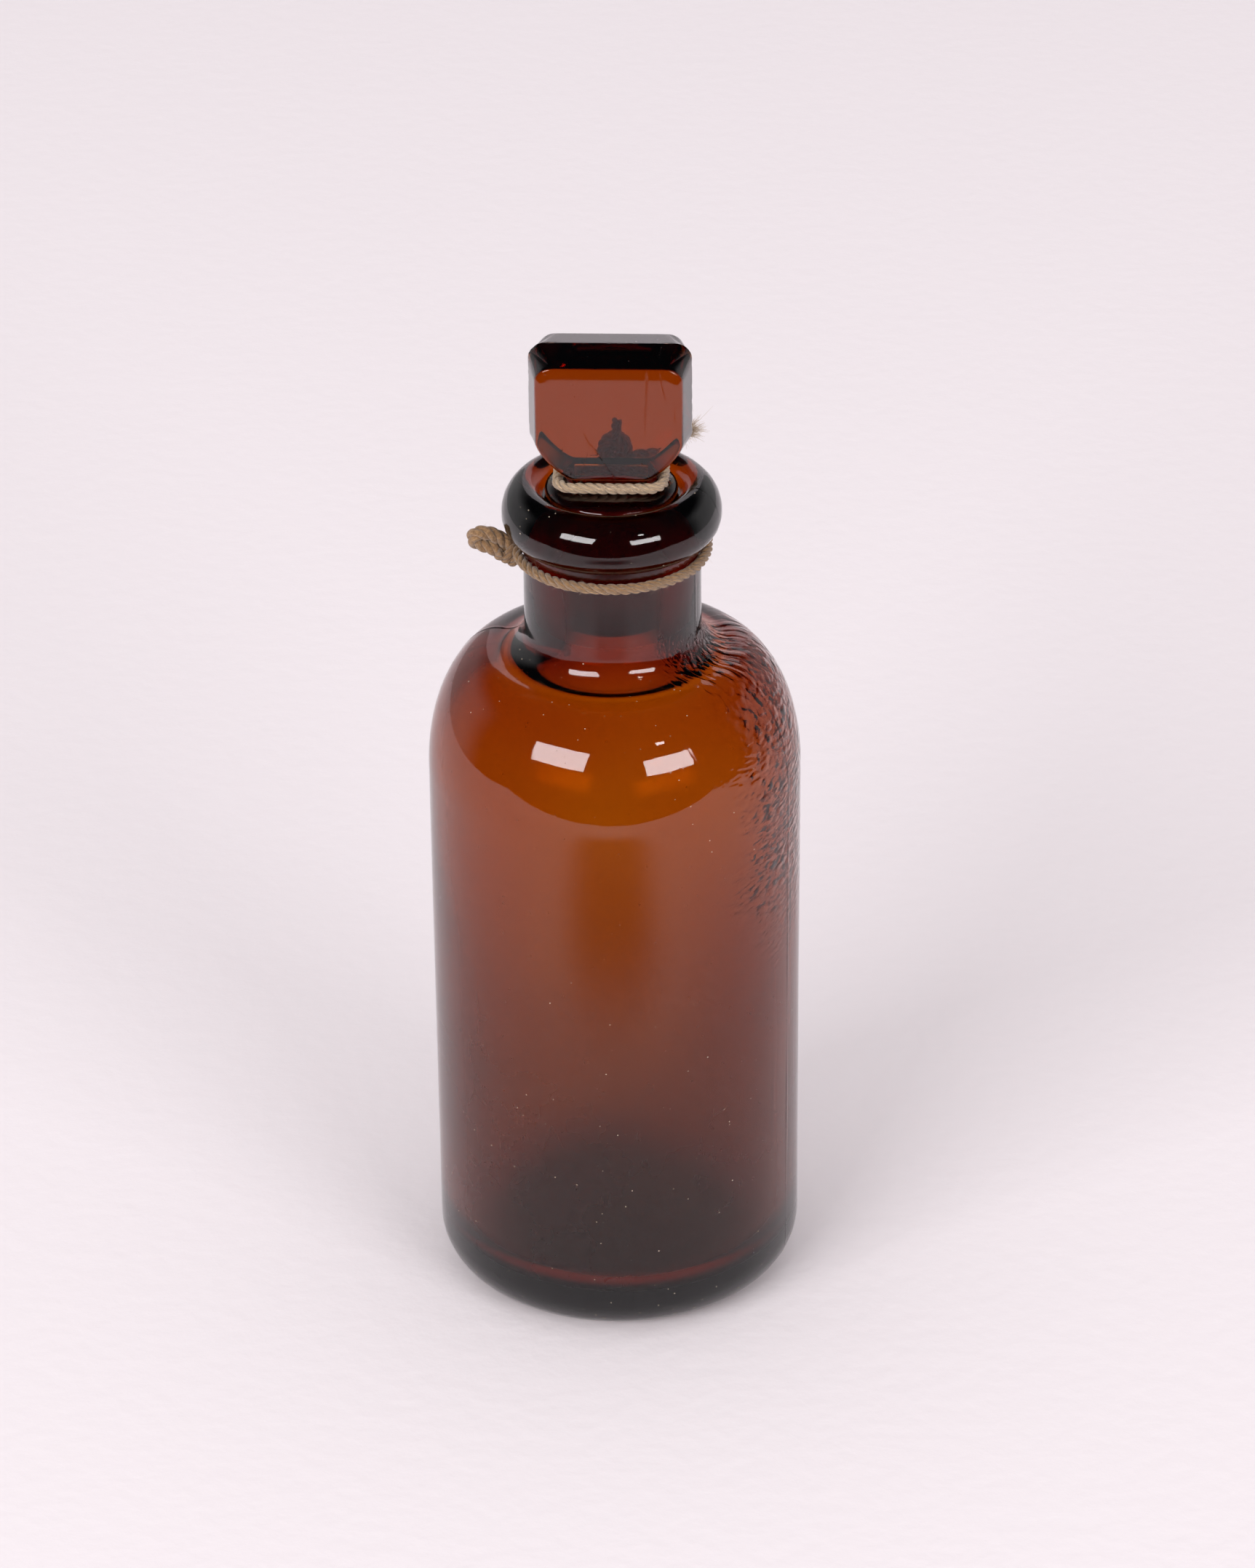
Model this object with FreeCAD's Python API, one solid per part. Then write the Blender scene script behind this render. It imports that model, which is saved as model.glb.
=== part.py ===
import FreeCAD, Part
import math
import os

# Amber apothecary bottle with a ground-glass tablet stopper and two twine ties.
# Millimetres. The origin is the centre of the resting ring, +Z runs up the bottle's axis,
# +X runs along the width of the stopper's tablet and -Y is the front.

# --- bottle, outside ---
BASE_RADIUS = 31.9             # body just above the heel
SHOULDER_RADIUS = 32.2         # body where the shoulder starts: the mould's draft opens upwards
HEEL_RADIUS = 9.0              # rounding between the resting ring and the body
RING_INNER_RADIUS = 19.0       # inside edge of the flat resting ring
PUSH_UP = 2.0                  # how far the underside is dished
SHOULDER_START = 99.8          # height where the body turns into the shoulder
SHOULDER_IN = 11.8             # the shoulder is a quarter ellipse: its reach inwards
SHOULDER_UP = 21.5             # and its reach upwards
NECK_RADIUS = 15.2
NECK_FILLET = 5.3              # between shoulder and neck
BEAD_RADIUS = 15.9             # the thin step under the lip
BEAD_HEIGHT = 1.2
LIP_RADIUS = 18.8
LIP_CENTRE = 147.8             # height of the lip's widest line
LIP_LOWER = (4.2, 4.7)         # lower quarter of the lip's section: inwards, downwards
LIP_UPPER = (6.1, 6.2)         # upper quarter: inwards, upwards

# --- bottle, inside ---
WALL = 2.9                     # at the shoulder
FOOT_WALL = 3.9                # just above the inner heel: the glass is heavier there
FLOOR_THICKNESS = 6.5          # glass over the resting ring
FLOOR_CROWN = 1.6              # the floor rises this much to its centre
INNER_HEEL = 8.0
INNER_SHOULDER_IN = 13.5       # the inner shoulder's reach inwards
INNER_SHOULDER_UP = 18.8       # and its reach upwards
THROAT_FILLET = 7.4            # between the inner shoulder and the bore
MOUTH_RADIUS = 11.8            # recess in the lip that takes the stopper's collar
MOUTH_ROUND = 1.5
SEAT = 150.7                   # floor of that recess

# --- ground joint ---
PLUG_TOP_RADIUS = 9.3
PLUG_TOP = 151.0               # also the underside of the collar
PLUG_BOTTOM = 128.5
GROUND_TAPER = 0.05            # radius lost for each millimetre of depth, the usual 1 in 10
GROUND_GAP = 0.06              # radial clearance of the stopper in its bore
BORE_BOTTOM = 126.5

# --- stopper ---
PLUG_CHAMFER = 0.6
COLLAR_RADIUS = 11.35
COLLAR_EDGE = 0.9              # height of the collar's round edge
COLLAR_TOP_RADIUS = 8.6
COLLAR_TOP = 153.5
COLLAR_DOME_MIDDLE = (10.55, 153.0)
WAIST_HALF = (8.0, 5.0)        # the oblong waist: half its width, half its depth
WAIST_CORNER = 3.0
TABLET_FACE_Y = 7.2            # half the distance between the two flat faces
TABLET_HALF_WIDTH = 12.3       # of a face
TABLET_FLAT_HALF = 6.2         # of the flat at the bottom of a face
TABLET_BOTTOM = 156.6
TABLET_TOP = 177.4
TABLET_LOWER_CORNER = 6.6      # height of the rounded lower corner
TABLET_TOP_CORNER = 2.8        # radius of the upper corner
SEAM_STEP = 1.5                # the mould seam stands this far outside the faces all round

# --- twine ---
TWINE = 1.85                   # diameter
NECK_TIE_GAP = 0.15            # the neck tie can slip round
NECK_TIE_HEIGHT = 140.9
KNOT_RADIUS = 1.9
BIGHT_DIAMETER = 3.4           # two strands laid together
BIGHT_ROUTE = [(-17.6, -0.6, 140.4), (-20.0, -1.0, 142.2), (-23.6, -1.3, 143.0)]
WAIST_TIE_HEIGHT = 154.6
WAIST_TIE_GAP = 0.02
END_DIAMETER = 2.0
WAIST_KNOT = (0.4, 8.4, 156.0)  # behind the tablet
WAIST_KNOT_RADIUS = 2.0
STUB_TOP = (0.9, 8.6, 163.0)   # the short end stands up from the knot
END_ROUTE = [(0.4, 8.4, 156.0), (6.9, 9.7, 156.2), (12.9, 9.0, 158.2)]


def point(radius, height):
    """A point of an outline in the XZ plane."""
    return FreeCAD.Vector(radius, 0, height)


def line(a, b):
    return Part.LineSegment(point(*a), point(*b)).toShape()


def arc(a, middle, b):
    return Part.Arc(point(*a), point(*middle), point(*b)).toShape()


def round_arc(centre, radius, start, stop):
    """Circular arc about centre from the angle start to the angle stop, in degrees."""
    def on(angle):
        turn = math.radians(angle)
        return (centre[0] + radius * math.cos(turn), centre[1] + radius * math.sin(turn))
    return arc(on(start), on((start + stop) / 2), on(stop))


def oval_arc(centre, across, up, start, stop):
    """Arc of an upright ellipse, angles in degrees; up is the longer half axis and across the other."""
    ellipse = Part.Ellipse(point(centre[0], centre[1] + up), point(centre[0] + across, centre[1]),
                           point(*centre))
    top_down = (math.radians(90 - stop), math.radians(90 - start))
    return Part.ArcOfEllipse(ellipse, *top_down).toShape()


def oval_point(centre, across, up, angle):
    turn = math.radians(angle)
    return (centre[0] + across * math.cos(turn), centre[1] + up * math.sin(turn))


def fillet_on_oval(centre, across, up, fillet, wall_radius):
    """Where a concave fillet leaves an ellipse quarter to end on an upright wall.

    Returns the ellipse angle of the tangent point and the fillet's centre. The fillet's centre is
    the ellipse point moved out along its normal, and it has to lie one fillet outside the wall."""
    low, high = 0.0, 90.0
    for _ in range(50):
        middle = (low + high) / 2
        turn = math.radians(middle)
        normal = FreeCAD.Vector(math.cos(turn) / across, 0, math.sin(turn) / up).normalize()
        spot = oval_point(centre, across, up, middle)
        hub = (spot[0] + fillet * normal.x, spot[1] + fillet * normal.z)
        if hub[0] > wall_radius + fillet:
            low = middle
        else:
            high = middle
    return middle, hub


def cap_arc(rim_radius, rim_height, rise):
    """Shallow dome from its middle, on the axis, out to its rim; its centre lies on the axis."""
    ball = (rim_radius ** 2 + rise ** 2) / (2 * rise)
    centre = (0, rim_height + rise - ball)
    rim_angle = math.degrees(math.asin((ball - rise) / ball))
    return round_arc(centre, ball, 90, rim_angle)


def turned(edges):
    """Solid of revolution about Z from a closed outline."""
    face = Part.Face(Part.Wire(Part.__sortEdges__(edges)))
    return face.revolve(FreeCAD.Vector(0, 0, 0), FreeCAD.Vector(0, 0, 1), 360)


def shoulder_edges(centre, across, up, fillet, wall_radius):
    """Shoulder quarter and the fillet that carries it into an upright wall; ends on the wall."""
    angle, hub = fillet_on_oval(centre, across, up, fillet, wall_radius)
    spot = oval_point(centre, across, up, angle)
    start = math.degrees(math.atan2(spot[1] - hub[1], spot[0] - hub[0])) % 360
    edges = [oval_arc(centre, across, up, 0, angle), round_arc(hub, fillet, start, 180)]
    return edges, (wall_radius, hub[1])


def bore_radius(height):
    return PLUG_TOP_RADIUS + GROUND_GAP - GROUND_TAPER * (PLUG_TOP - height)


def bottle_outside():
    """Edges from the middle of the underside up to the crown of the lip, and that crown's point."""
    ring_outer = BASE_RADIUS - HEEL_RADIUS
    shoulder = (SHOULDER_RADIUS - SHOULDER_IN, SHOULDER_START)
    blend, neck_start = shoulder_edges(shoulder, SHOULDER_IN, SHOULDER_UP, NECK_FILLET, NECK_RADIUS)
    lower = (LIP_RADIUS - LIP_LOWER[0], LIP_CENTRE)
    upper = (LIP_RADIUS - LIP_UPPER[0], LIP_CENTRE)
    root = -math.degrees(math.acos((BEAD_RADIUS - lower[0]) / LIP_LOWER[0]))
    bead_top = oval_point(lower, *LIP_LOWER, root)
    bead_low = (BEAD_RADIUS, bead_top[1] - BEAD_HEIGHT)
    edges = [
        cap_arc(RING_INNER_RADIUS, 0, PUSH_UP),
        line((RING_INNER_RADIUS, 0), (ring_outer, 0)),
        round_arc((ring_outer, HEEL_RADIUS), HEEL_RADIUS, -90, 0),
        line((BASE_RADIUS, HEEL_RADIUS), (SHOULDER_RADIUS, SHOULDER_START)),
        *blend,
        line(neck_start, (NECK_RADIUS, bead_low[1])),
        line((NECK_RADIUS, bead_low[1]), bead_low),
        line(bead_low, bead_top),
        oval_arc(lower, *LIP_LOWER, root, 0),
        oval_arc(upper, *LIP_UPPER, 0, 90),
    ]
    return edges, (upper[0], LIP_CENTRE + LIP_UPPER[1])


def bottle_inside(crown):
    """Edges from the crown of the lip down through the bore to the middle of the floor."""
    mouth_top = (MOUTH_RADIUS, crown[1] - MOUTH_ROUND)
    lean = (crown[0] - (crown[0] - MOUTH_RADIUS) * 0.72, crown[1] - MOUTH_ROUND * 0.3)
    inner = BASE_RADIUS - WALL
    shoulder = (inner - INNER_SHOULDER_IN, SHOULDER_START)
    throat = bore_radius(BORE_BOTTOM)
    blend, throat_start = shoulder_edges(shoulder, INNER_SHOULDER_IN, INNER_SHOULDER_UP,
                                         THROAT_FILLET, throat)
    foot = BASE_RADIUS - FOOT_WALL
    floor_edge = foot - INNER_HEEL
    return [
        arc(crown, lean, mouth_top),
        line(mouth_top, (MOUTH_RADIUS, SEAT)),
        line((MOUTH_RADIUS, SEAT), (bore_radius(SEAT), SEAT)),
        line((bore_radius(SEAT), SEAT), (throat, BORE_BOTTOM)),
        line((throat, BORE_BOTTOM), throat_start),
        *blend,
        line((inner, SHOULDER_START), (foot, FLOOR_THICKNESS + INNER_HEEL)),
        round_arc((floor_edge, FLOOR_THICKNESS + INNER_HEEL), INNER_HEEL, -90, 0),
        cap_arc(floor_edge, FLOOR_THICKNESS, FLOOR_CROWN),
    ]


def make_bottle():
    outside, crown = bottle_outside()
    axis = line((0, PUSH_UP), (0, FLOOR_THICKNESS + FLOOR_CROWN))
    return turned(outside + bottle_inside(crown) + [axis])


def tablet_outline(y, grow):
    """Closed outline of the tablet at the depth y, grown outwards by grow."""
    side = TABLET_HALF_WIDTH + grow
    flat = TABLET_FLAT_HALF
    top = TABLET_TOP + grow
    bottom = TABLET_BOTTOM - grow * 0.6
    corner = bottom + TABLET_LOWER_CORNER
    corner_middle = (side - (side - flat) * 0.4, bottom + TABLET_LOWER_CORNER * 0.4)
    turn = TABLET_TOP_CORNER
    lean = turn * (1 - math.sqrt(0.5))

    def at(x, z):
        return FreeCAD.Vector(x, y, z)

    return Part.Wire([
        Part.LineSegment(at(-flat, bottom), at(flat, bottom)).toShape(),
        Part.Arc(at(flat, bottom), at(*corner_middle), at(side, corner)).toShape(),
        Part.LineSegment(at(side, corner), at(side, top - turn)).toShape(),
        Part.Arc(at(side, top - turn), at(side - lean, top - lean), at(side - turn, top)).toShape(),
        Part.LineSegment(at(side - turn, top), at(turn - side, top)).toShape(),
        Part.Arc(at(turn - side, top), at(lean - side, top - lean), at(-side, top - turn)).toShape(),
        Part.LineSegment(at(-side, top - turn), at(-side, corner)).toShape(),
        Part.Arc(at(-side, corner), at(-corner_middle[0], corner_middle[1]), at(-flat, bottom)).toShape(),
    ])


def make_tablet():
    """Two flat faces with bevels that meet in the raised mould seam round the edge."""
    front = tablet_outline(-TABLET_FACE_Y, 0)
    seam = tablet_outline(0, SEAM_STEP)
    back = tablet_outline(TABLET_FACE_Y, 0)
    halves = [Part.makeLoft([front, seam], True, True), Part.makeLoft([seam, back], True, True)]
    return halves[0].fuse(halves[1])


def oblong(half_x, half_y, corner, height):
    """Rectangle with round corners, as a closed wire at the given height."""
    edges = []
    for index, (sx, sy) in enumerate(((1, 1), (-1, 1), (-1, -1), (1, -1))):
        hub = FreeCAD.Vector(sx * (half_x - corner), sy * (half_y - corner), height)
        angles = [math.radians(90 * index + step) for step in (0, 45, 90)]
        spots = [hub + FreeCAD.Vector(corner * math.cos(a), corner * math.sin(a), 0) for a in angles]
        edges.append(Part.Arc(*spots).toShape())
        if index in (0, 2):
            after = FreeCAD.Vector(-spots[2].x, spots[2].y, height)
        else:
            after = FreeCAD.Vector(spots[2].x, -spots[2].y, height)
        edges.append(Part.LineSegment(spots[2], after).toShape())
    return Part.Wire(edges)


def make_waist():
    face = Part.Face(oblong(*WAIST_HALF, WAIST_CORNER, COLLAR_TOP - 1))
    return face.extrude(FreeCAD.Vector(0, 0, TABLET_BOTTOM - COLLAR_TOP + 2))


def make_plug_and_collar():
    foot = PLUG_TOP_RADIUS - GROUND_TAPER * (PLUG_TOP - PLUG_BOTTOM)
    rim = (COLLAR_RADIUS, PLUG_TOP + COLLAR_EDGE)
    edge_middle = (COLLAR_RADIUS - 0.1, PLUG_TOP + COLLAR_EDGE * 0.45)
    under = (COLLAR_RADIUS - 0.5, PLUG_TOP)
    return turned([
        line((0, PLUG_BOTTOM), (foot - PLUG_CHAMFER, PLUG_BOTTOM)),
        line((foot - PLUG_CHAMFER, PLUG_BOTTOM), (foot, PLUG_BOTTOM + PLUG_CHAMFER)),
        line((foot, PLUG_BOTTOM + PLUG_CHAMFER), (PLUG_TOP_RADIUS, PLUG_TOP)),
        line((PLUG_TOP_RADIUS, PLUG_TOP), under),
        arc(under, edge_middle, rim),
        arc(rim, COLLAR_DOME_MIDDLE, (COLLAR_TOP_RADIUS, COLLAR_TOP)),
        line((COLLAR_TOP_RADIUS, COLLAR_TOP), (0, COLLAR_TOP)),
        line((0, COLLAR_TOP), (0, PLUG_BOTTOM)),
    ])


def make_stopper():
    return make_plug_and_collar().fuse([make_waist(), make_tablet()]).removeSplitter()


def rounded_path(route):
    """Straight runs joined by tangent arcs, each arc as large as its two runs allow.

    The radius is 0.45 of the shorter run over the tangent of half the turn. Returns the wire and
    the radii."""
    spots = [FreeCAD.Vector(*spot) for spot in route]
    edges, radii, start = [], [], spots[0]
    for before, corner, after in zip(spots, spots[1:], spots[2:]):
        way_in = corner - before
        way_out = after - corner
        reach = 0.45 * min(way_in.Length, way_out.Length)
        half_turn = way_in.getAngle(way_out) / 2
        radii.append(reach / math.tan(half_turn))
        way_in.normalize()
        way_out.normalize()
        enter, leave = corner - way_in * reach, corner + way_out * reach
        inwards = (way_out - way_in).normalize()
        hub = corner + inwards * (radii[-1] / math.cos(half_turn))
        edges.append(Part.LineSegment(start, enter).toShape())
        edges.append(Part.Arc(enter, hub - inwards * radii[-1], leave).toShape())
        start = leave
    edges.append(Part.LineSegment(start, spots[-1]).toShape())
    return Part.Wire(edges), radii


def tube(path, start, direction, diameter):
    """Round tube along a wire, from the point start where the wire runs along direction."""
    ring = Part.Wire(Part.makeCircle(diameter / 2, start, direction))
    return path.makePipeShell([ring], True, False)


def report_cord(name, shape, path, radii, diameter):
    wanted = math.pi * diameter ** 2 / 4 * path.Length
    listed = " ".join(f"{radius:.1f}" for radius in radii)
    print(f"{name}: length {path.Length:.1f}, radii {listed}, volume over section x length "
          f"{shape.Volume / wanted:.3f}")


def make_neck_tie():
    """The neck tie's loop, knot and folded bight, each cut to meet the next face to face."""
    loop_radius = NECK_RADIUS + NECK_TIE_GAP + TWINE / 2
    loop = Part.makeTorus(loop_radius, TWINE / 2, FreeCAD.Vector(0, 0, NECK_TIE_HEIGHT))
    knot_centre = FreeCAD.Vector(-(NECK_RADIUS + NECK_TIE_GAP + KNOT_RADIUS + 0.3), 0, NECK_TIE_HEIGHT)
    knot = Part.makeSphere(KNOT_RADIUS, knot_centre)
    path, radii = rounded_path(BIGHT_ROUTE)
    start = FreeCAD.Vector(*BIGHT_ROUTE[0])
    bight = tube(path, start, FreeCAD.Vector(*BIGHT_ROUTE[1]) - start, BIGHT_DIAMETER)
    report_cord("neck_twine_bight", bight, path, radii, BIGHT_DIAMETER)
    return {
        "neck_twine": loop,
        "neck_twine_knot": knot.cut(loop),
        "neck_twine_bight": bight.cut(knot).cut(loop),
    }


def make_waist_tie():
    """The waist tie's loop, knot and frayed end, each cut to meet the next face to face."""
    out = TWINE / 2 + WAIST_TIE_GAP
    half_x, half_y = WAIST_HALF[0] + out, WAIST_HALF[1] + out
    corner = WAIST_CORNER + out
    path = oblong(half_x, half_y, corner, WAIST_TIE_HEIGHT)
    start = FreeCAD.Vector(half_x, half_y - corner, WAIST_TIE_HEIGHT)
    loop = tube(path, start, FreeCAD.Vector(0, 1, 0), TWINE)
    report_cord("waist_twine", loop, path, [corner], TWINE)
    hub, top = FreeCAD.Vector(*WAIST_KNOT), FreeCAD.Vector(*STUB_TOP)
    stub = Part.makeCylinder(END_DIAMETER / 2, (top - hub).Length, hub, top - hub)
    knot = Part.makeSphere(WAIST_KNOT_RADIUS, hub).fuse(stub)
    end_path, radii = rounded_path(END_ROUTE)
    first = FreeCAD.Vector(*END_ROUTE[0])
    end = tube(end_path, first, FreeCAD.Vector(*END_ROUTE[1]) - first, END_DIAMETER)
    report_cord("waist_twine_end", end, end_path, radii, END_DIAMETER)
    return {
        "waist_twine": loop,
        "waist_twine_knot": knot.cut(loop),
        "waist_twine_end": end.cut(knot).cut(loop),
    }


def main():
    os.makedirs("parts", exist_ok=True)
    stopper = make_stopper()
    waist_tie = {name: shape.cut(stopper) for name, shape in make_waist_tie().items()}
    nodes = {"bottle": make_bottle(), "stopper": stopper, **make_neck_tie(), **waist_tie}
    for name, shape in nodes.items():
        print(f"{name}: valid {shape.isValid()}, solids {len(shape.Solids)}, "
              f"volume {shape.Volume:.1f}, z {shape.BoundBox.ZMin:.2f} to {shape.BoundBox.ZMax:.2f}")
        shape.exportStep(f"parts/{name}.step")


main()
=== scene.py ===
"""Looks of an amber apothecary bottle: glass, ground stopper and two twine ties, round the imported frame."""

import logging
import math
from dataclasses import dataclass, field
from enum import Enum

import bpy
import numpy as np
from mathutils import Matrix, Vector


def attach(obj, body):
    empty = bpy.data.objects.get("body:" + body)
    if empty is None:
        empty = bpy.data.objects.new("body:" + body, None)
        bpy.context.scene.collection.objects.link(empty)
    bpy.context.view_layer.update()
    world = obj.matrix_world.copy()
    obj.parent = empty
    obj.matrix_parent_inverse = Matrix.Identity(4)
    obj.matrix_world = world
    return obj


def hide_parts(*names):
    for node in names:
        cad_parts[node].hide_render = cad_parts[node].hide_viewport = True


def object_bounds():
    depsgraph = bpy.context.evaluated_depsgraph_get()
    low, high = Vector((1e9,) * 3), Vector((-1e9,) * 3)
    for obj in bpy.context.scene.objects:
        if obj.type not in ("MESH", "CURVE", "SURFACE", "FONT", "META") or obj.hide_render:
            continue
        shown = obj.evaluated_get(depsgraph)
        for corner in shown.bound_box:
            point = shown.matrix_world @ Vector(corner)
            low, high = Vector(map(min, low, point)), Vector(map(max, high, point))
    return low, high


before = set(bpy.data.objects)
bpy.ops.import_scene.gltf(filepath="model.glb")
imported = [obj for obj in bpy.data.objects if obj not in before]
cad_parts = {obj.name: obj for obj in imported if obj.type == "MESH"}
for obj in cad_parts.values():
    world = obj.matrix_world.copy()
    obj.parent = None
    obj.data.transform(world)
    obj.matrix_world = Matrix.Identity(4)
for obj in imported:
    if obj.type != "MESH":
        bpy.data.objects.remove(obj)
CAD_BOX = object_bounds()

MM = 0.001
LOG = logging.getLogger("bottle")
Pair = tuple[float, float]
Point = tuple[float, float, float]
Arrays = tuple[np.ndarray, np.ndarray]


# --------------------------------------------------------------------------------------
# Shapes as whole arrays
# --------------------------------------------------------------------------------------


def oval(centre: Pair, across: float, up: float, start: float, stop: float, count: int) -> np.ndarray:
    """Stretch of an upright ellipse: centre + (across cos a, up sin a), a in degrees.

    Args:
        centre: radius and height of the centre.
        across, up: half axes.
        start, stop: first and last angle.
        count: number of points.

    Returns:
        Array (count, 2) of radius and height.
    """
    angle = np.radians(np.linspace(start, stop, count))
    return np.column_stack([centre[0] + across * np.cos(angle), centre[1] + up * np.sin(angle)])


def cap(rim_radius: float, rim_height: float, rise: float, count: int) -> np.ndarray:
    """Shallow dome from the axis to its rim, on a ball of radius (rim^2 + rise^2) / (2 rise).

    Returns:
        Array (count, 2), from the middle outwards.
    """
    ball = (rim_radius**2 + rise**2) / (2 * rise)
    rim = math.degrees(math.asin((ball - rise) / ball))
    return oval((0.0, rim_height + rise - ball), ball, ball, 90.0, rim, count)


def bent(first: Pair, middle: Pair, last: Pair, count: int) -> np.ndarray:
    """Parabola through three points, the middle one half way along its parameter.

    Args:
        first: start, millimetres.
        middle: point passed half way.
        last: end.
        count: number of points.

    Returns:
        Array of points, shape (count, 2).
    """
    t = np.linspace(0.0, 1.0, count)[:, None]
    a, b, c = (np.array(point) for point in (first, middle, last))
    return a * (1 - t) * (1 - 2 * t) + b * 4 * t * (1 - t) + c * t * (2 * t - 1)


def smooth_step(low: float, high: float, value: np.ndarray) -> np.ndarray:
    """0 below low, 1 above high, and 3t^2 - 2t^3 between them."""
    t = np.clip((value - low) / (high - low), 0.0, 1.0)
    return t * t * (3.0 - 2.0 * t)


def unit(ways: np.ndarray) -> np.ndarray:
    """The vectors along the last axis, each with length 1."""
    return ways / np.linalg.norm(ways, axis=-1, keepdims=True)


def reach_along(line: np.ndarray) -> np.ndarray:
    """Distance along a line from its start to each of its points."""
    return np.concatenate([[0.0], np.cumsum(np.linalg.norm(np.diff(line, axis=0), axis=1))])


def value_noise(x: np.ndarray, y: np.ndarray, seed: int) -> np.ndarray:
    """Smooth noise from -1 to 1 with one hill or hollow for each unit of x and y.

    Random heights on a 64 by 64 lattice that repeats, mixed with the smooth step of x and y.

    Args:
        x, y: arrays of one shape.
        seed: picks the lattice.

    Returns:
        Array of the same shape.
    """
    lattice = np.random.default_rng(seed).uniform(-1.0, 1.0, (64, 64))
    col, row = np.floor(x).astype(int), np.floor(y).astype(int)
    across, up = smooth_step(0.0, 1.0, x - col), smooth_step(0.0, 1.0, y - row)
    near = lattice[row % 64, col % 64] * (1 - across) + lattice[row % 64, (col + 1) % 64] * across
    far = lattice[(row + 1) % 64, col % 64] * (1 - across) + lattice[(row + 1) % 64, (col + 1) % 64] * across
    return near * (1 - up) + far * up


def spaced_along(line: np.ndarray, count: int, extra: Point | None = None,
                 soften: float = 0.12) -> np.ndarray:
    """Spreads points along a line so that they are close where it turns.

    The line is resampled at 0.05 mm, its corners are eased by a short running mean, and the points
    stand at equal steps of the integral of 0.35 + 2 x curvature + extra.

    Args:
        line: array (n, 2) in millimetres.
        count: number of points wanted.
        extra: height range (low, high, weight) that gets more points, or None.
        soften: half length of the running mean, in millimetres.

    Returns:
        Array (count, 2), with the first and last points of the line.
    """
    grid = 0.05
    step = np.hypot(*np.diff(line, axis=0).T)
    line = line[np.concatenate([[True], step > 1e-6])]
    reach = np.concatenate([[0.0], np.cumsum(np.hypot(*np.diff(line, axis=0).T))])
    even = np.linspace(0.0, reach[-1], int(reach[-1] / grid) + 1)
    fine = np.column_stack([np.interp(even, reach, line[:, 0]), np.interp(even, reach, line[:, 1])])
    width = int(soften / grid)
    kernel = np.hanning(2 * width + 3)[1:-1]
    padded = np.pad(fine, ((width, width), (0, 0)), mode="edge")
    kernel /= kernel.sum()
    eased = np.column_stack([np.convolve(padded[:, i], kernel, mode="valid") for i in (0, 1)])
    eased[0], eased[-1] = line[0], line[-1]
    heading = np.unwrap(np.arctan2(*np.gradient(eased, axis=0).T[::-1]))
    weight = 0.35 + 2.0 * np.abs(np.gradient(heading, even))
    if extra is not None:
        low, high, more = extra
        height = eased[:, 1]
        weight = weight + more * smooth_step(low - 4, low, height) * (1 - smooth_step(high, high + 4, height))
    share = np.concatenate([[0.0], np.cumsum((weight[1:] + weight[:-1]) / 2 * np.diff(even))])
    at = np.interp(np.linspace(0.0, share[-1], count), share, even)
    return np.column_stack([np.interp(at, even, eased[:, 0]), np.interp(at, even, eased[:, 1])])


def mesh_object(name: str, vertices: np.ndarray, faces: np.ndarray) -> bpy.types.Object:
    """Makes a smooth-shaded mesh object at the origin.

    Args:
        name: object name.
        vertices: array (n, 3) in millimetres.
        faces: array (m, 4) of vertex numbers; a triangle repeats its last one.

    Returns:
        The linked object, in metres.
    """
    triangle = faces[:, 2] == faces[:, 3]
    sizes = np.where(triangle, 3, 4)
    keep = np.ones(faces.shape, bool)
    keep[triangle, 3] = False
    mesh = bpy.data.meshes.new(name)
    mesh.vertices.add(len(vertices))
    mesh.vertices.foreach_set("co", (vertices * MM).astype(np.float32).ravel())
    mesh.loops.add(int(sizes.sum()))
    mesh.loops.foreach_set("vertex_index", faces[keep].astype(np.int32))
    mesh.polygons.add(len(faces))
    starts = np.concatenate([[0], np.cumsum(sizes)[:-1]])
    mesh.polygons.foreach_set("loop_start", starts.astype(np.int32))
    mesh.polygons.foreach_set("loop_total", sizes.astype(np.int32))
    mesh.polygons.foreach_set("use_smooth", np.ones(len(faces), bool))
    mesh.update(calc_edges=True)
    mesh.validate()
    made = bpy.data.objects.new(name, mesh)
    bpy.context.scene.collection.objects.link(made)
    return made


def ring_faces(numbers: np.ndarray) -> np.ndarray:
    """Quads between neighbouring rings; numbers is (rings, around) and each ring closes on itself."""
    right = np.roll(numbers, -1, axis=1)
    quads = np.stack([numbers[:-1], right[:-1], right[1:], numbers[1:]], axis=-1)
    return quads.reshape(-1, 4)


def fan_faces(ring: np.ndarray, tip: int, outwards: bool) -> np.ndarray:
    """Triangles from a ring of vertex numbers to one tip."""
    after = np.roll(ring, -1)
    tips = np.full_like(ring, tip)
    sides = (ring, after) if outwards else (after, ring)
    return np.stack([sides[0], sides[1], tips, tips], axis=-1)


def capped_faces(rings: int, around: int) -> np.ndarray:
    """Faces of a tube of rings whose two tips are the last two vertices."""
    numbers = np.arange(rings * around).reshape(rings, around)
    tip = rings * around
    return np.concatenate([
        ring_faces(numbers), fan_faces(numbers[0], tip, False), fan_faces(numbers[-1], tip + 1, True),
    ])


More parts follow.
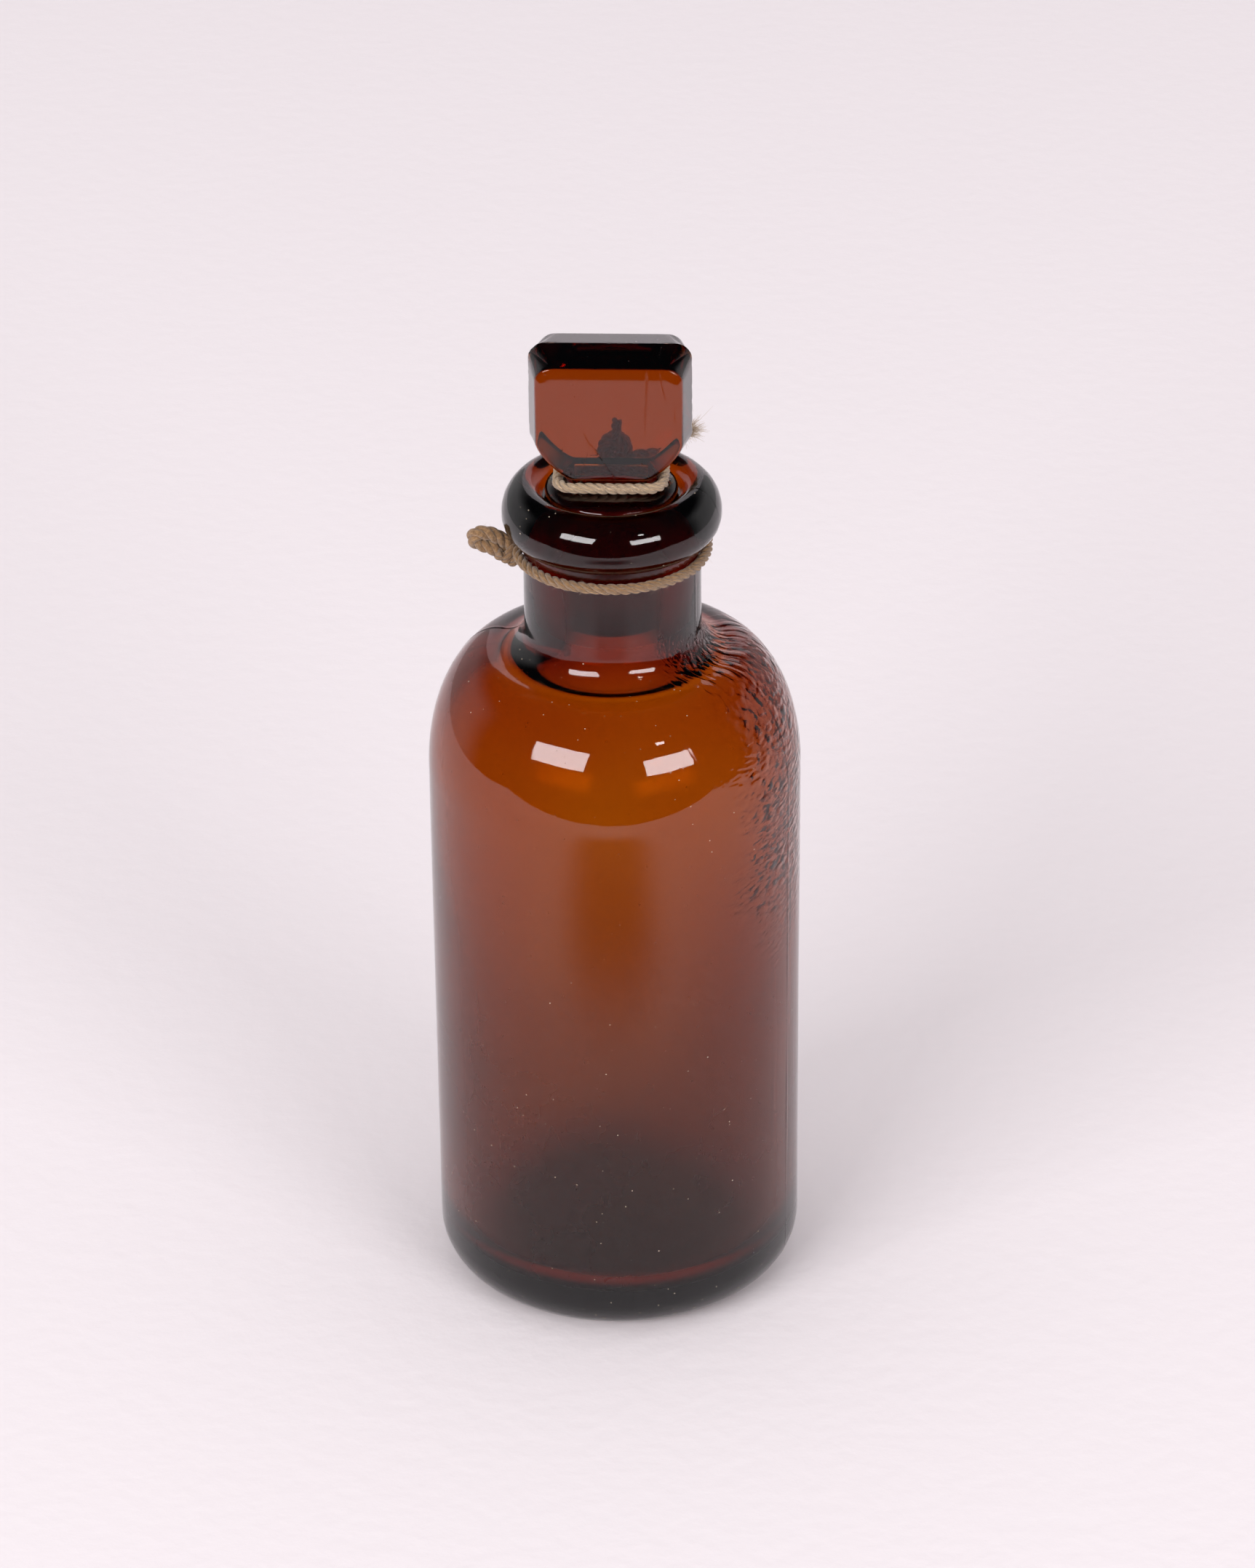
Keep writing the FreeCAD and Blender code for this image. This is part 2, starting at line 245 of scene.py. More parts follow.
def tube_arrays(line: np.ndarray, radius: np.ndarray, across: np.ndarray, sides: int) -> Arrays:
    """Closed-ended round tube along a line.

    A point is line + radius (cos a * across + sin a * (tangent x across)).

    Args:
        line: array (n, 3).
        radius: array (n,).
        across: array (n, 3), unit, square to the line.
        sides: points round the tube.

    Returns:
        Vertices and faces.
    """
    other = unit(np.cross(unit(np.gradient(line, axis=0)), across))
    angle = np.linspace(0, 2 * np.pi, sides, endpoint=False)[None, :, None]
    round_it = np.cos(angle) * across[:, None] + np.sin(angle) * other[:, None]
    ring = line[:, None] + radius[:, None, None] * round_it
    return np.concatenate([ring.reshape(-1, 3), line[:1], line[-1:]]), capped_faces(len(line), sides)


def joined(parts: list[Arrays]) -> Arrays:
    """Puts several (vertices, faces) pairs into one pair."""
    starts = np.cumsum([0] + [len(vertices) for vertices, _ in parts[:-1]])
    return (
        np.concatenate([vertices for vertices, _ in parts]),
        np.concatenate([faces + start for (_, faces), start in zip(parts, starts)]),
    )


# --------------------------------------------------------------------------------------
# Finishes
# --------------------------------------------------------------------------------------


Socket = bpy.types.NodeSocket
Tree = bpy.types.NodeTree
FLOAT, COLOUR = "NodeSocketFloat", "NodeSocketColor"
WHITE = (1.0, 1.0, 1.0, 1.0)


class Nodes:
    """Short forms for building a node tree."""

    def __init__(self, tree: Tree) -> None:
        """Keeps the tree that the nodes go into."""
        self.tree = tree

    def add(self, kind: str, inputs: dict | None = None, **settings: object) -> bpy.types.Node:
        """Adds a node, sets its properties, and links or sets its inputs.

        Args:
            kind: Blender's name of the node type.
            inputs: socket name or number to a value or to the output socket to link from.
            settings: properties of the node.

        Returns:
            The node.
        """
        node = self.tree.nodes.new(kind)
        for name, value in settings.items():
            setattr(node, name, value)
        for name, value in (inputs or {}).items():
            socket = node.inputs[name]
            if isinstance(value, Socket):
                self.tree.links.new(value, socket)
            else:
                socket.default_value = value
        return node

    def math(self, operation: str, first: object, second: object = 0.0, clamp: bool = False) -> Socket:
        """One Math node; returns its output."""
        made = self.add("ShaderNodeMath", {0: first, 1: second}, operation=operation, use_clamp=clamp)
        return made.outputs[0]

    def product(self, first: object, second: object, clamp: bool = False) -> Socket:
        """First times second."""
        return self.math("MULTIPLY", first, second, clamp)

    def place(self) -> tuple[Socket, Socket, Socket]:
        """Object coordinates, their height and their distance from the upright axis, in metres."""
        made = self.add("ShaderNodeTexCoord").outputs["Object"]
        height = self.add("ShaderNodeSeparateXYZ", {"Vector": made}).outputs["Z"]
        flat = self.add("ShaderNodeVectorMath", {0: made, 1: (1.0, 1.0, 0.0)}, operation="MULTIPLY")
        reach = self.add("ShaderNodeVectorMath", {0: flat.outputs[0]}, operation="LENGTH")
        return made, height, reach.outputs["Value"]

    def ramp(self, value: object, low: float, high: float, to: Pair = (0.0, 1.0)) -> Socket:
        """Maps low..high smoothly on to the range to, held at its ends."""
        made = self.add(
            "ShaderNodeMapRange",
            {"Value": value, "From Min": low, "From Max": high, "To Min": to[0], "To Max": to[1]},
            interpolation_type="SMOOTHSTEP",
        )
        return made.outputs["Result"]

    def noise(self, vector: object, scale: float, detail: float = 2.0, rough: float = 0.5) -> Socket:
        """Noise texture; returns its Fac."""
        given = {"Vector": vector, "Scale": scale, "Detail": detail, "Roughness": rough}
        return self.add("ShaderNodeTexNoise", given).outputs["Fac"]

    def mix(self, share: object, first: object, second: object, blend: str = "MIX") -> Socket:
        """Mixes two colours; returns the result."""
        made = self.add("ShaderNodeMix", {0: share, 6: first, 7: second}, data_type="RGBA", blend_type=blend)
        return made.outputs[2]

    def group(self, tree: Tree, **inputs: float) -> bpy.types.Node:
        """Adds a node group with its inputs set."""
        return self.add("ShaderNodeGroup", inputs, node_tree=tree)

    def finish(self, surface: bpy.types.Node, volume: bpy.types.Node | None = None) -> None:
        """Links the output node of a material."""
        out = self.add("ShaderNodeOutputMaterial", {"Surface": surface.outputs[0]})
        if volume:
            self.tree.links.new(volume.outputs[0], out.inputs["Volume"])


def new_material(name: str) -> tuple[bpy.types.Material, Nodes]:
    """Starts a material with an empty node tree."""
    made = bpy.data.materials.new(name)
    made.use_nodes = True
    made.node_tree.nodes.clear()
    return made, Nodes(made.node_tree)


def new_group(name: str, inputs: dict[str, float], outputs: dict[str, str]) -> tuple[Tree, Nodes, dict]:
    """Starts a shader node group with named sockets.

    Args:
        name: group name.
        inputs: float input names and their values.
        outputs: output names and socket types.

    Returns:
        The group, its Nodes helper, and its inputs as sockets to link from, by name.
    """
    group = bpy.data.node_groups.new(name, "ShaderNodeTree")
    for label, value in inputs.items():
        socket = group.interface.new_socket(name=label, in_out="INPUT", socket_type="NodeSocketFloat")
        socket.default_value = value
    for label, kind in outputs.items():
        group.interface.new_socket(name=label, in_out="OUTPUT", socket_type=kind)
    nodes = Nodes(group)
    return group, nodes, nodes.add("NodeGroupInput").outputs


def glass_wear_group() -> Tree:
    """Handling marks on old glass: a patchy dry film, fine scratches and settled dust.

    Inputs Film, Scratches and Dust are strengths. Outputs are Roughness, to add to the clean
    glass's own, Height in metres, and Tint, a grey that dims the glass under dust.
    """
    group, n, given = new_group("glass_wear", {"Film": 0.1, "Scratches": 1.0, "Dust": 1.0},
                                {"Roughness": FLOAT, "Height": FLOAT, "Tint": COLOUR})
    place = n.add("ShaderNodeTexCoord").outputs["Object"]
    cloud = n.ramp(n.noise(place, 38.0, 4.0, 0.62), 0.38, 0.72)
    smear = n.add("ShaderNodeMapping",
                  {"Vector": place, "Scale": (1.0, 1.0, 0.22), "Rotation": (0.25, 0.1, 0.0)})
    streak = n.ramp(n.noise(smear.outputs[0], 160.0, 5.0, 0.7), 0.5, 0.8)
    film = n.product(n.math("ADD", cloud, n.product(streak, 0.5)), given["Film"])
    lines: list[Socket] = []
    for turn, size in (((0.5, 0.2, 0.9), 70.0), ((1.1, 0.7, 0.1), 110.0)):
        laid = n.add("ShaderNodeMapping", {"Vector": place, "Rotation": turn, "Scale": (1.0, 0.06, 0.35)})
        cell = n.add("ShaderNodeTexVoronoi", {"Vector": laid.outputs[0], "Scale": size},
                     feature="DISTANCE_TO_EDGE")
        thin = n.ramp(cell.outputs["Distance"], 0.0, 0.012, (1.0, 0.0))
        rare = n.ramp(n.noise(place, size * 0.9, 1.0), 0.58, 0.66)
        lines.append(n.product(thin, rare))
    scratch = n.product(n.math("MAXIMUM", lines[0], lines[1]), given["Scratches"])
    grain = n.add("ShaderNodeTexVoronoi", {"Vector": place, "Scale": 900.0}, feature="F1")
    speck = n.ramp(grain.outputs["Distance"], 0.1, 0.2, (1.0, 0.0))
    sparse = n.ramp(n.noise(place, 420.0, 2.0), 0.6, 0.68)
    dust = n.product(n.product(speck, sparse), given["Dust"], clamp=True)
    rough = n.math("ADD", film, n.math("ADD", n.product(scratch, 0.25), n.product(dust, 0.5)))
    height = n.product(n.math("SUBTRACT", dust, scratch), 0.000012)
    tint = n.mix(dust, WHITE, (0.72, 0.7, 0.68, 1.0))
    n.add("NodeGroupOutput", {"Roughness": rough, "Height": height, "Tint": tint})
    return group


def ripple_group(azimuth: float, spread: float, heights: Pair) -> Tree:
    """Chill marks: short wavy creases that run across one side of a moulded bottle.

    Two stretched noises are folded by abs, so that each zero line is a crease; they fade with the
    azimuth and the height.

    Args:
        azimuth: middle of the marked side, radians.
        spread: half width of that side, radians.
        heights: lowest and highest mark, millimetres.

    Returns:
        Group with one output, Height in metres.
    """
    group, n, _ = new_group("chill_marks", {}, {"Height": FLOAT})
    place = n.add("ShaderNodeTexCoord").outputs["Object"]
    split = n.add("ShaderNodeSeparateXYZ", {"Vector": place})
    turn = n.math("ARCTAN2", split.outputs["Y"], split.outputs["X"])
    off = n.math("ABSOLUTE", n.math("SUBTRACT", turn, azimuth))
    wander = n.product(n.noise(place, 90.0, 2.0), 0.35)
    side = n.ramp(n.math("ADD", off, wander), spread * 0.75, spread * 1.2, (1.0, 0.0))
    bottom = n.ramp(split.outputs["Z"], (heights[0] - 8.0) * MM, (heights[0] + 22.0) * MM)
    top = n.ramp(split.outputs["Z"], (heights[1] - 3.0) * MM, (heights[1] + 2.0) * MM, (1.0, 0.0))
    share = n.product(side, n.product(bottom, top))
    rolled = n.add("ShaderNodeCombineXYZ",
                   {"X": n.product(turn, 9.0), "Y": n.product(split.outputs["Z"], 560.0)})
    bend = n.add("ShaderNodeMapping", {"Vector": rolled.outputs[0], "Rotation": (0.0, 0.0, 0.35)})
    broad, small = (
        n.math("ABSOLUTE", n.math("SUBTRACT", n.noise(bend.outputs[0], scale, 1.0, 0.4), 0.5))
        for scale in (1.0, 2.2)
    )
    crease = n.math("ADD", n.ramp(broad, 0.0, 0.3), n.product(n.ramp(small, 0.0, 0.4), 0.2))
    n.add("NodeGroupOutput", {"Height": n.product(n.product(crease, share), 0.00016)})
    return group


def inner_haze_and_darkening_group(shoulder: Point, floor: float) -> Tree:
    """Haze on the inside of a bottle, rougher and darker towards the floor.

    The inside is where q < 0.86, q = hypot(max(r - a, 0) / b, max(z - c, 0) / d) for the outer
    shoulder's ellipse, and z is over the floor. Input Strength scales it. Outputs are Tint, which
    the light that crosses the skin is multiplied by, and Roughness.

    Args:
        shoulder: centre radius, centre height and half width of the shoulder's ellipse, millimetres.
        floor: height of the inside floor, millimetres.

    Returns:
        The group.
    """
    group, n, given = new_group("inner_haze_and_darkening", {"Strength": 1.0}, {"Tint": COLOUR, "Roughness": FLOAT})
    place, height, reach = n.place()
    across, up = (
        n.math("DIVIDE", n.math("MAXIMUM", n.math("SUBTRACT", value, start * MM), 0.0), size * MM)
        for value, start, size in (
            (reach, shoulder[0], shoulder[2]), (height, shoulder[1], 1.82 * shoulder[2]),
        )
    )
    q = n.math("SQRT", n.math("ADD", n.product(across, across), n.product(up, up)))
    over_floor = n.ramp(height, (floor - 0.3) * MM, floor * MM)
    share = n.product(n.product(n.ramp(q, 0.84, 0.88, (1.0, 0.0)), over_floor), given["Strength"])
    # Grey tint and roughness that grow towards the floor, below 104 mm.
    depth = n.ramp(height, 0.026, 0.104, (1.0, 0.0))
    cloud = n.ramp(n.noise(place, 55.0, 4.0, 0.6), 0.25, 0.8, (0.82, 1.0))
    tint = n.mix(n.product(n.product(depth, cloud), share), WHITE, (0.40, 0.36, 0.34, 1.0))
    rough = n.product(n.math("ADD", n.product(depth, 0.12), 0.13), share)
    n.add("NodeGroupOutput", {"Tint": tint, "Roughness": rough})
    return group


def fibre_group() -> Tree:
    """Plant fibres laid along a cord, on UV u along it and v round it.

    Inputs are Along and Round, the fibres' density each way. Outputs are Shade, fibre tone and painted shade,
    0 in the hollows and 1 on the fibres, Blotch, a slow stain, and Height in metres.
    """
    group, n, given = new_group("laid_fibres", {"Along": 0.9, "Round": 9.0},
                                {"Shade": FLOAT, "Blotch": FLOAT, "Height": FLOAT})
    uv = n.add("ShaderNodeTexCoord").outputs["UV"]
    scale = n.add("ShaderNodeCombineXYZ", {"X": given["Along"], "Y": given["Round"], "Z": 1.0})
    laid = n.add("ShaderNodeVectorMath", {0: uv, 1: scale.outputs[0]}, operation="MULTIPLY").outputs[0]
    shade = n.ramp(n.noise(laid, 1.0, 6.0, 0.7), 0.3, 0.72)
    place = n.add("ShaderNodeTexCoord").outputs["Object"]
    blotch = n.ramp(n.noise(place, 260.0, 3.0), 0.35, 0.68)
    n.add("NodeGroupOutput", {"Shade": shade, "Blotch": blotch, "Height": n.product(shade, 0.00009)})
    return group


@dataclass(frozen=True)
class AmberGlass:
    """Amber glass with a ground zone that is rough between two heights near the axis."""

    name: str
    clean_roughness: float
    film: float
    scratches: float
    dust: float
    ground_heights: Pair
    ground_radius: float
    ground_roughness: float = 0.32
    ior: float = 1.52
    colour: tuple[float, float, float, float] = (0.882, 0.688, 0.042, 1.0)
    density: float = 1200.0
    inner_haze_and_darkening: float = 0.0
    chilled: bool = False

    def material(self, wear: Tree, inner_haze_and_darkening: Tree,
                 ripples: Tree) -> bpy.types.Material:
        """Builds the material.

        Args:
            wear: the glass_wear group.
            inner_haze_and_darkening: the group that makes the inside rougher and darker towards the floor.
            ripples: the chill_marks group.

        Returns:
            The finished material.
        """
        made, n = new_material(self.name)
        marks = n.group(wear, Film=self.film, Scratches=self.scratches, Dust=self.dust)
        _, up, reach = n.place()
        low, high = (height * MM for height in self.ground_heights)
        edge = 0.3 * MM
        above = n.ramp(up, low - edge, low + edge)
        below = n.ramp(up, high - edge, high + edge, (1.0, 0.0))
        rim = self.ground_radius * MM
        near = n.ramp(reach, rim - edge, rim + edge, (1.0, 0.0))
        ground = n.product(n.product(above, below), near)
        grind = n.product(ground, self.ground_roughness)
        inside_rough_and_dim = n.group(inner_haze_and_darkening, Strength=self.inner_haze_and_darkening)
        worn = n.math("ADD", marks.outputs["Roughness"], inside_rough_and_dim.outputs["Roughness"])
        rough = n.math("ADD", n.math("ADD", worn, self.clean_roughness), grind, clamp=True)
        # The inside's tint makes the glass darker towards the floor.
        tint = n.mix(1.0, marks.outputs["Tint"], inside_rough_and_dim.outputs["Tint"], "MULTIPLY")
        height = marks.outputs["Height"]
        if self.chilled:
            height = n.math("ADD", height, n.group(ripples).outputs["Height"])
        bump = n.add("ShaderNodeBump", {"Strength": 1.0, "Distance": 1.0, "Height": height})
        shader = n.add("ShaderNodeBsdfPrincipled", {
            "Base Color": tint,
            "Roughness": rough,
            "Normal": bump.outputs[0],
            "IOR": self.ior,
            "Metallic": 0.0,
            "Transmission Weight": 1.0,
        })
        body = n.add("ShaderNodeVolumeAbsorption", {"Color": self.colour, "Density": self.density})
        n.finish(shader, body)
        return made


@dataclass(frozen=True)
class TwineFinish:
    """Dry natural twine: pale on the fibres and darker in the lay, fibre tone and painted shade, stained in
    slow blotches.
    """

    name: str
    pale: tuple[float, float, float]
    dark: tuple[float, float, float]
    stain: tuple[float, float, float]

    def material(self, fibres: Tree) -> bpy.types.Material:
        """Builds the material from the laid_fibres group."""
        made, n = new_material(self.name)
        laid = n.group(fibres)
        # Fibre tone and painted shade: the dark colour fills the low points of the fibre bump.
        fibre_tone_and_painted_shade = n.mix(laid.outputs["Shade"], (*self.dark, 1.0), (*self.pale, 1.0))
        colour = n.mix(n.product(laid.outputs["Blotch"], 0.55), fibre_tone_and_painted_shade, (*self.stain, 1.0))
        bump = n.add("ShaderNodeBump", {"Strength": 1.0, "Distance": 1.0, "Height": laid.outputs["Height"]})
        shader = n.add("ShaderNodeBsdfPrincipled", {
            "Base Color": colour,
            "Roughness": 0.88,
            "Normal": bump.outputs[0],
            "Sheen Weight": 0.35,
            "Sheen Roughness": 0.5,
            "Specular IOR Level": 0.25,
        })
        n.finish(shader)
        return made


@dataclass(frozen=True)
class PaperFinish:
    """Matt pale paper with the faintest tooth."""

    name: str
    colour: tuple[float, float, float]

    def material(self) -> bpy.types.Material:
        """Builds the material."""
        made, n = new_material(self.name)
        place = n.add("ShaderNodeTexCoord").outputs["Object"]
        tooth = n.noise(place, 240.0, 3.0)
        bump = n.add("ShaderNodeBump", {"Strength": 0.35, "Distance": 0.0004, "Height": tooth})
        shader = n.add("ShaderNodeBsdfPrincipled", {
            "Base Color": (*self.colour, 1.0),
            "Roughness": 0.95,
            "Specular IOR Level": 0.1,
            "Normal": bump.outputs[0],
        })
        n.finish(shader)
        return made


# --------------------------------------------------------------------------------------
# Bottle
# --------------------------------------------------------------------------------------


@dataclass
class Bottle:
    """The blown bottle, one closed skin of outside and inside.

    Sizes are millimetres. They are the CAD part's own, but for the lip, which ends 0.5 mm lower here.
    """

    base_radius: float = 31.9
    shoulder_radius: float = 32.2
    heel_radius: float = 9.0
    ring_inner_radius: float = 19.0
    push_up: float = 2.0
    shoulder_start: float = 99.8
    shoulder_in: float = 11.8
    shoulder_up: float = 21.5
    neck_radius: float = 15.2
    neck_fillet: float = 5.3
    bead_radius: float = 15.9
    bead_height: float = 1.2
    lip_radius: float = 18.8
    lip_centre: float = 147.5
    lip_lower: Pair = (4.2, 4.4)
    lip_upper: Pair = (4.6, 6.0)
    wall: float = 2.9
    foot_wall: float = 3.9
    floor_thickness: float = 6.5
    floor_crown: float = 1.6
    inner_heel: float = 8.0
    inner_shoulder_in: float = 13.5
    inner_shoulder_up: float = 18.8
    throat_fillet: float = 7.4
    mouth_radius: float = 11.8
    mouth_round: float = 2.2
    seat: float = 150.7
    bore_top_radius: float = 9.36
    bore_top: float = 151.0
    bore_bottom: float = 126.5
    taper: float = 0.05
    seam_azimuth: float = -19.5
    seam_height: float = 0.055
    seam_half_width: float = 0.24
    rows: int = 306
    columns: int = 320

    def blend_angle(self, across: float, up: float, centre: float, fillet: float,
                    wall_radius: float) -> float:
        """Ellipse angle where a concave fillet leaves the shoulder to end on an upright wall.

        The fillet's hub is the ellipse point moved out along its normal by the fillet, and it lies
        one fillet outside the wall. The angle is read off a fine table of that distance.

        Returns:
            The angle in degrees.
        """
        angle = np.radians(np.linspace(0.0, 90.0, 9001))
        normal = np.stack([np.cos(angle) / across, np.sin(angle) / up])
        normal /= np.linalg.norm(normal, axis=0)
        hub = centre + across * np.cos(angle) + fillet * normal[0]
        return float(np.degrees(angle[np.argmin(np.abs(hub - wall_radius - fillet))]))

    def shoulder(self, centre: Pair, across: float, up: float, fillet: float,
                 wall_radius: float) -> np.ndarray:
        """Shoulder quarter and the fillet into an upright wall, from the body upwards."""
        stop = self.blend_angle(across, up, centre[0], fillet, wall_radius)
        quarter = oval(centre, across, up, 0.0, stop, 160)
        turn = math.radians(stop)
        normal = Vector((math.cos(turn) / across, math.sin(turn) / up)).normalized()
        hub = (wall_radius + fillet, float(quarter[-1, 1]) + fillet * normal.y)
        start = math.degrees(math.atan2(-normal.y, -normal.x)) % 360
        return np.concatenate([quarter, oval(hub, fillet, fillet, start, 180.0, 60)])

    def outside(self) -> np.ndarray:
        """Meridian from the middle of the underside up to the crown of the lip."""
        ring_outer = self.base_radius - self.heel_radius
        lower = (self.lip_radius - self.lip_lower[0], self.lip_centre)
        upper = (self.lip_radius - self.lip_upper[0], self.lip_centre)
        root = -math.degrees(math.acos((self.bead_radius - lower[0]) / self.lip_lower[0]))
        lip = oval(lower, *self.lip_lower, root, 0.0, 60)
        bead = lip[0, 1] - self.bead_height
        centre = (self.shoulder_radius - self.shoulder_in, self.shoulder_start)
        return np.concatenate([
            cap(self.ring_inner_radius, 0.0, self.push_up, 30),
            oval((ring_outer, self.heel_radius), self.heel_radius, self.heel_radius, -90.0, 0.0, 60),
            self.shoulder(centre, self.shoulder_in, self.shoulder_up, self.neck_fillet, self.neck_radius),
            np.array([[self.neck_radius, bead], [self.bead_radius, bead]]),
            lip,
            oval(upper, *self.lip_upper, 0.0, 90.0, 60),
        ])

    def inside(self) -> np.ndarray:
        """Meridian from the crown of the lip down through the bore to the middle of the floor."""
        crown = (self.lip_radius - self.lip_upper[0], self.lip_centre + self.lip_upper[1])
        inner = self.base_radius - self.wall
        throat = self.bore_top_radius - self.taper * (self.bore_top - self.bore_bottom)
        seat_bore = self.bore_top_radius - self.taper * (self.bore_top - self.seat)
        centre = (inner - self.inner_shoulder_in, self.shoulder_start)
        blend = self.shoulder(centre, self.inner_shoulder_in, self.inner_shoulder_up, self.throat_fillet,
                              throat)
        foot = self.base_radius - self.foot_wall
        heel = (foot - self.inner_heel, self.floor_thickness + self.inner_heel)
        return np.concatenate([
            bent(crown, (crown[0] - 0.62 * (crown[0] - self.mouth_radius), crown[1] - 0.4 * self.mouth_round),
                 (self.mouth_radius, crown[1] - self.mouth_round), 30),
            np.array([[self.mouth_radius, self.seat], [seat_bore, self.seat], [throat, self.bore_bottom]]),
            blend[::-1],
            oval(heel, self.inner_heel, self.inner_heel, 0.0, -90.0, 40),
            cap(heel[0], self.floor_thickness, self.floor_crown, 30)[::-1],
        ])

    def azimuths(self) -> np.ndarray:
        """Column angles u - 0.33 sin 2(u - seam), which crowd them together on the two mould seams."""
        u = np.linspace(0.0, 2 * np.pi, self.columns, endpoint=False)
        return u - 0.33 * np.sin(2 * (u - math.radians(self.seam_azimuth)))

    def relief(self, azimuth: np.ndarray, radius: np.ndarray, height: np.ndarray) -> np.ndarray:
        """Height of the outside's marks over the true round: seams, chilled ripples and slow waves.

        The seams are two Gaussian ridges across the azimuth. The ripples are two folded noises
        on the unrolled surface, held to one side of the shoulder and the body under it. They are
        faint: most of the chilled look is the bump of the chill_marks group.

        Returns:
            Array of millimetres along the normal.
        """
        turn = azimuth - math.radians(self.seam_azimuth)
        off_seam = radius * np.abs(np.sin(turn))
        under_lip = 1 - smooth_step(self.lip_centre - 7.5, self.lip_centre - 6.5, height)
        upright = smooth_step(2.0, 6.0, height) * under_lip
        wander = 0.25 * value_noise(height / 17.0, np.zeros_like(height) + 3.0, 4)
        seam = self.seam_height * np.exp(-(((off_seam - wander) / self.seam_half_width) ** 2)) * upright
        side = (azimuth + np.pi) % (2 * np.pi) - np.pi
        chilled = smooth_step(-1.12, -0.75, side) * (1 - smooth_step(0.2, 0.7, side))
        band = smooth_step(82.0, 108.0, height) * (1 - smooth_step(124.0, 131.0, height))
        along, up = azimuth * 30.0, height
        warp = 0.5 * value_noise(along / 5.0, up / 5.0, 10)
        coarse = value_noise(along / 2.3 + up / 5.0 + warp, up / 1.15 + warp, 11)
        fine = value_noise(along / 1.2 - up / 4.0, up / 0.8, 12)
        patch = smooth_step(-0.35, 0.25, value_noise(along / 7.0, up / 8.0, 18) + 0.25)
        ripple = (0.042 * np.abs(coarse) + 0.016 * fine) * chilled * band * patch
        body = smooth_step(4.0, 14.0, height) * (1 - smooth_step(118.0, 126.0, height))
        slow = 0.05 * value_noise(along / 21.0, up / 26.0, 14) * body
        peel = 0.0035 * value_noise(along / 1.7, up / 2.1, 15) * body
        neck = smooth_step(128.0, 132.0, height) * (1 - smooth_step(139.0, 141.0, height))
        tooled = 0.014 * value_noise(along / 3.2, up / 1.4, 16) * neck
        lip = smooth_step(143.0, 146.0, height)
        uneven = 0.07 * value_noise(azimuth * 1.9 + 5.0, up / 5.0, 17) * lip
        return seam + ripple + slow + peel + tooled + uneven

    def inner_relief(self, azimuth: np.ndarray, height: np.ndarray, radius: np.ndarray) -> np.ndarray:
        """Uneven thickness: slow swells of the blown inside, none in the ground bore or its seat."""
        blown = 1 - smooth_step(112.0, 124.0, height)
        ring = (np.sin(azimuth * 2.0 + height / 31.0) * 0.16
                + np.sin(azimuth * 3.0 - height / 19.0 + 1.0) * 0.09)
        swell = 0.16 * value_noise(azimuth * 30.0 / 14.0, height / 15.0, 21)
        return (ring + swell) * blown * smooth_step(4.0, 20.0, radius)

    def build(self) -> bpy.types.Object:
        """Turns both meridians into one closed skin.

        A point is (r cos a, r sin a, z), moved along the meridian's normal by the relief.

        Returns:
            The bottle, replacing the CAD node of the same name.
        """
        outer = spaced_along(self.outside(), self.rows * 7 // 10, (84.0, 127.0, 2.4))
        inner = spaced_along(self.inside(), self.rows - len(outer), (118.0, 120.0, 0.3))
        line = np.concatenate([outer, inner[1:]])
        is_outer = (np.arange(len(line)) < len(outer))[:, None]
        slope = unit(np.gradient(line, axis=0))
        normal = np.column_stack([slope[:, 1], -slope[:, 0]])
        azimuth = self.azimuths()[None, :] + np.zeros((len(line), 1))
        radius = line[:, :1] + np.zeros_like(azimuth)
        height = line[:, 1:] + np.zeros_like(azimuth)
        fade = smooth_step(1.0, 8.0, radius)
        inner_move = self.inner_relief(azimuth, height, radius)
        move = np.where(is_outer, self.relief(azimuth, radius, height), inner_move) * fade
        radius = radius + move * normal[:, :1]
        height = height + move * normal[:, 1:]
        points = np.stack([radius * np.cos(azimuth), radius * np.sin(azimuth), height], axis=-1)
        body = points[1:-1].reshape(-1, 3)
        vertices = np.concatenate([body, [[0, 0, line[0, 1]], [0, 0, line[-1, 1]]]])
        numbers = np.arange(len(body)).reshape(len(line) - 2, self.columns)
        faces = np.concatenate([
            ring_faces(numbers),
            fan_faces(numbers[0], len(vertices) - 2, False),
            fan_faces(numbers[-1], len(vertices) - 1, True),
        ])
        made = mesh_object("bottle_glass", vertices, faces)
        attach(made, "bottle")
        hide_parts("bottle")
        return made

    def dress(self, made: bpy.types.Object, *groups: Tree) -> None:
        """Gives the bottle its amber glass, made with the wear, inner haze and darkening, and ripple groups.
        """
        finish = AmberGlass("bottle_amber", 0.012, 0.05, 0.25, 0.5, (self.bore_bottom, self.seat),
                            self.bore_top_radius + 0.2, inner_haze_and_darkening=1.0, chilled=True)
        made.data.materials.append(finish.material(*groups))


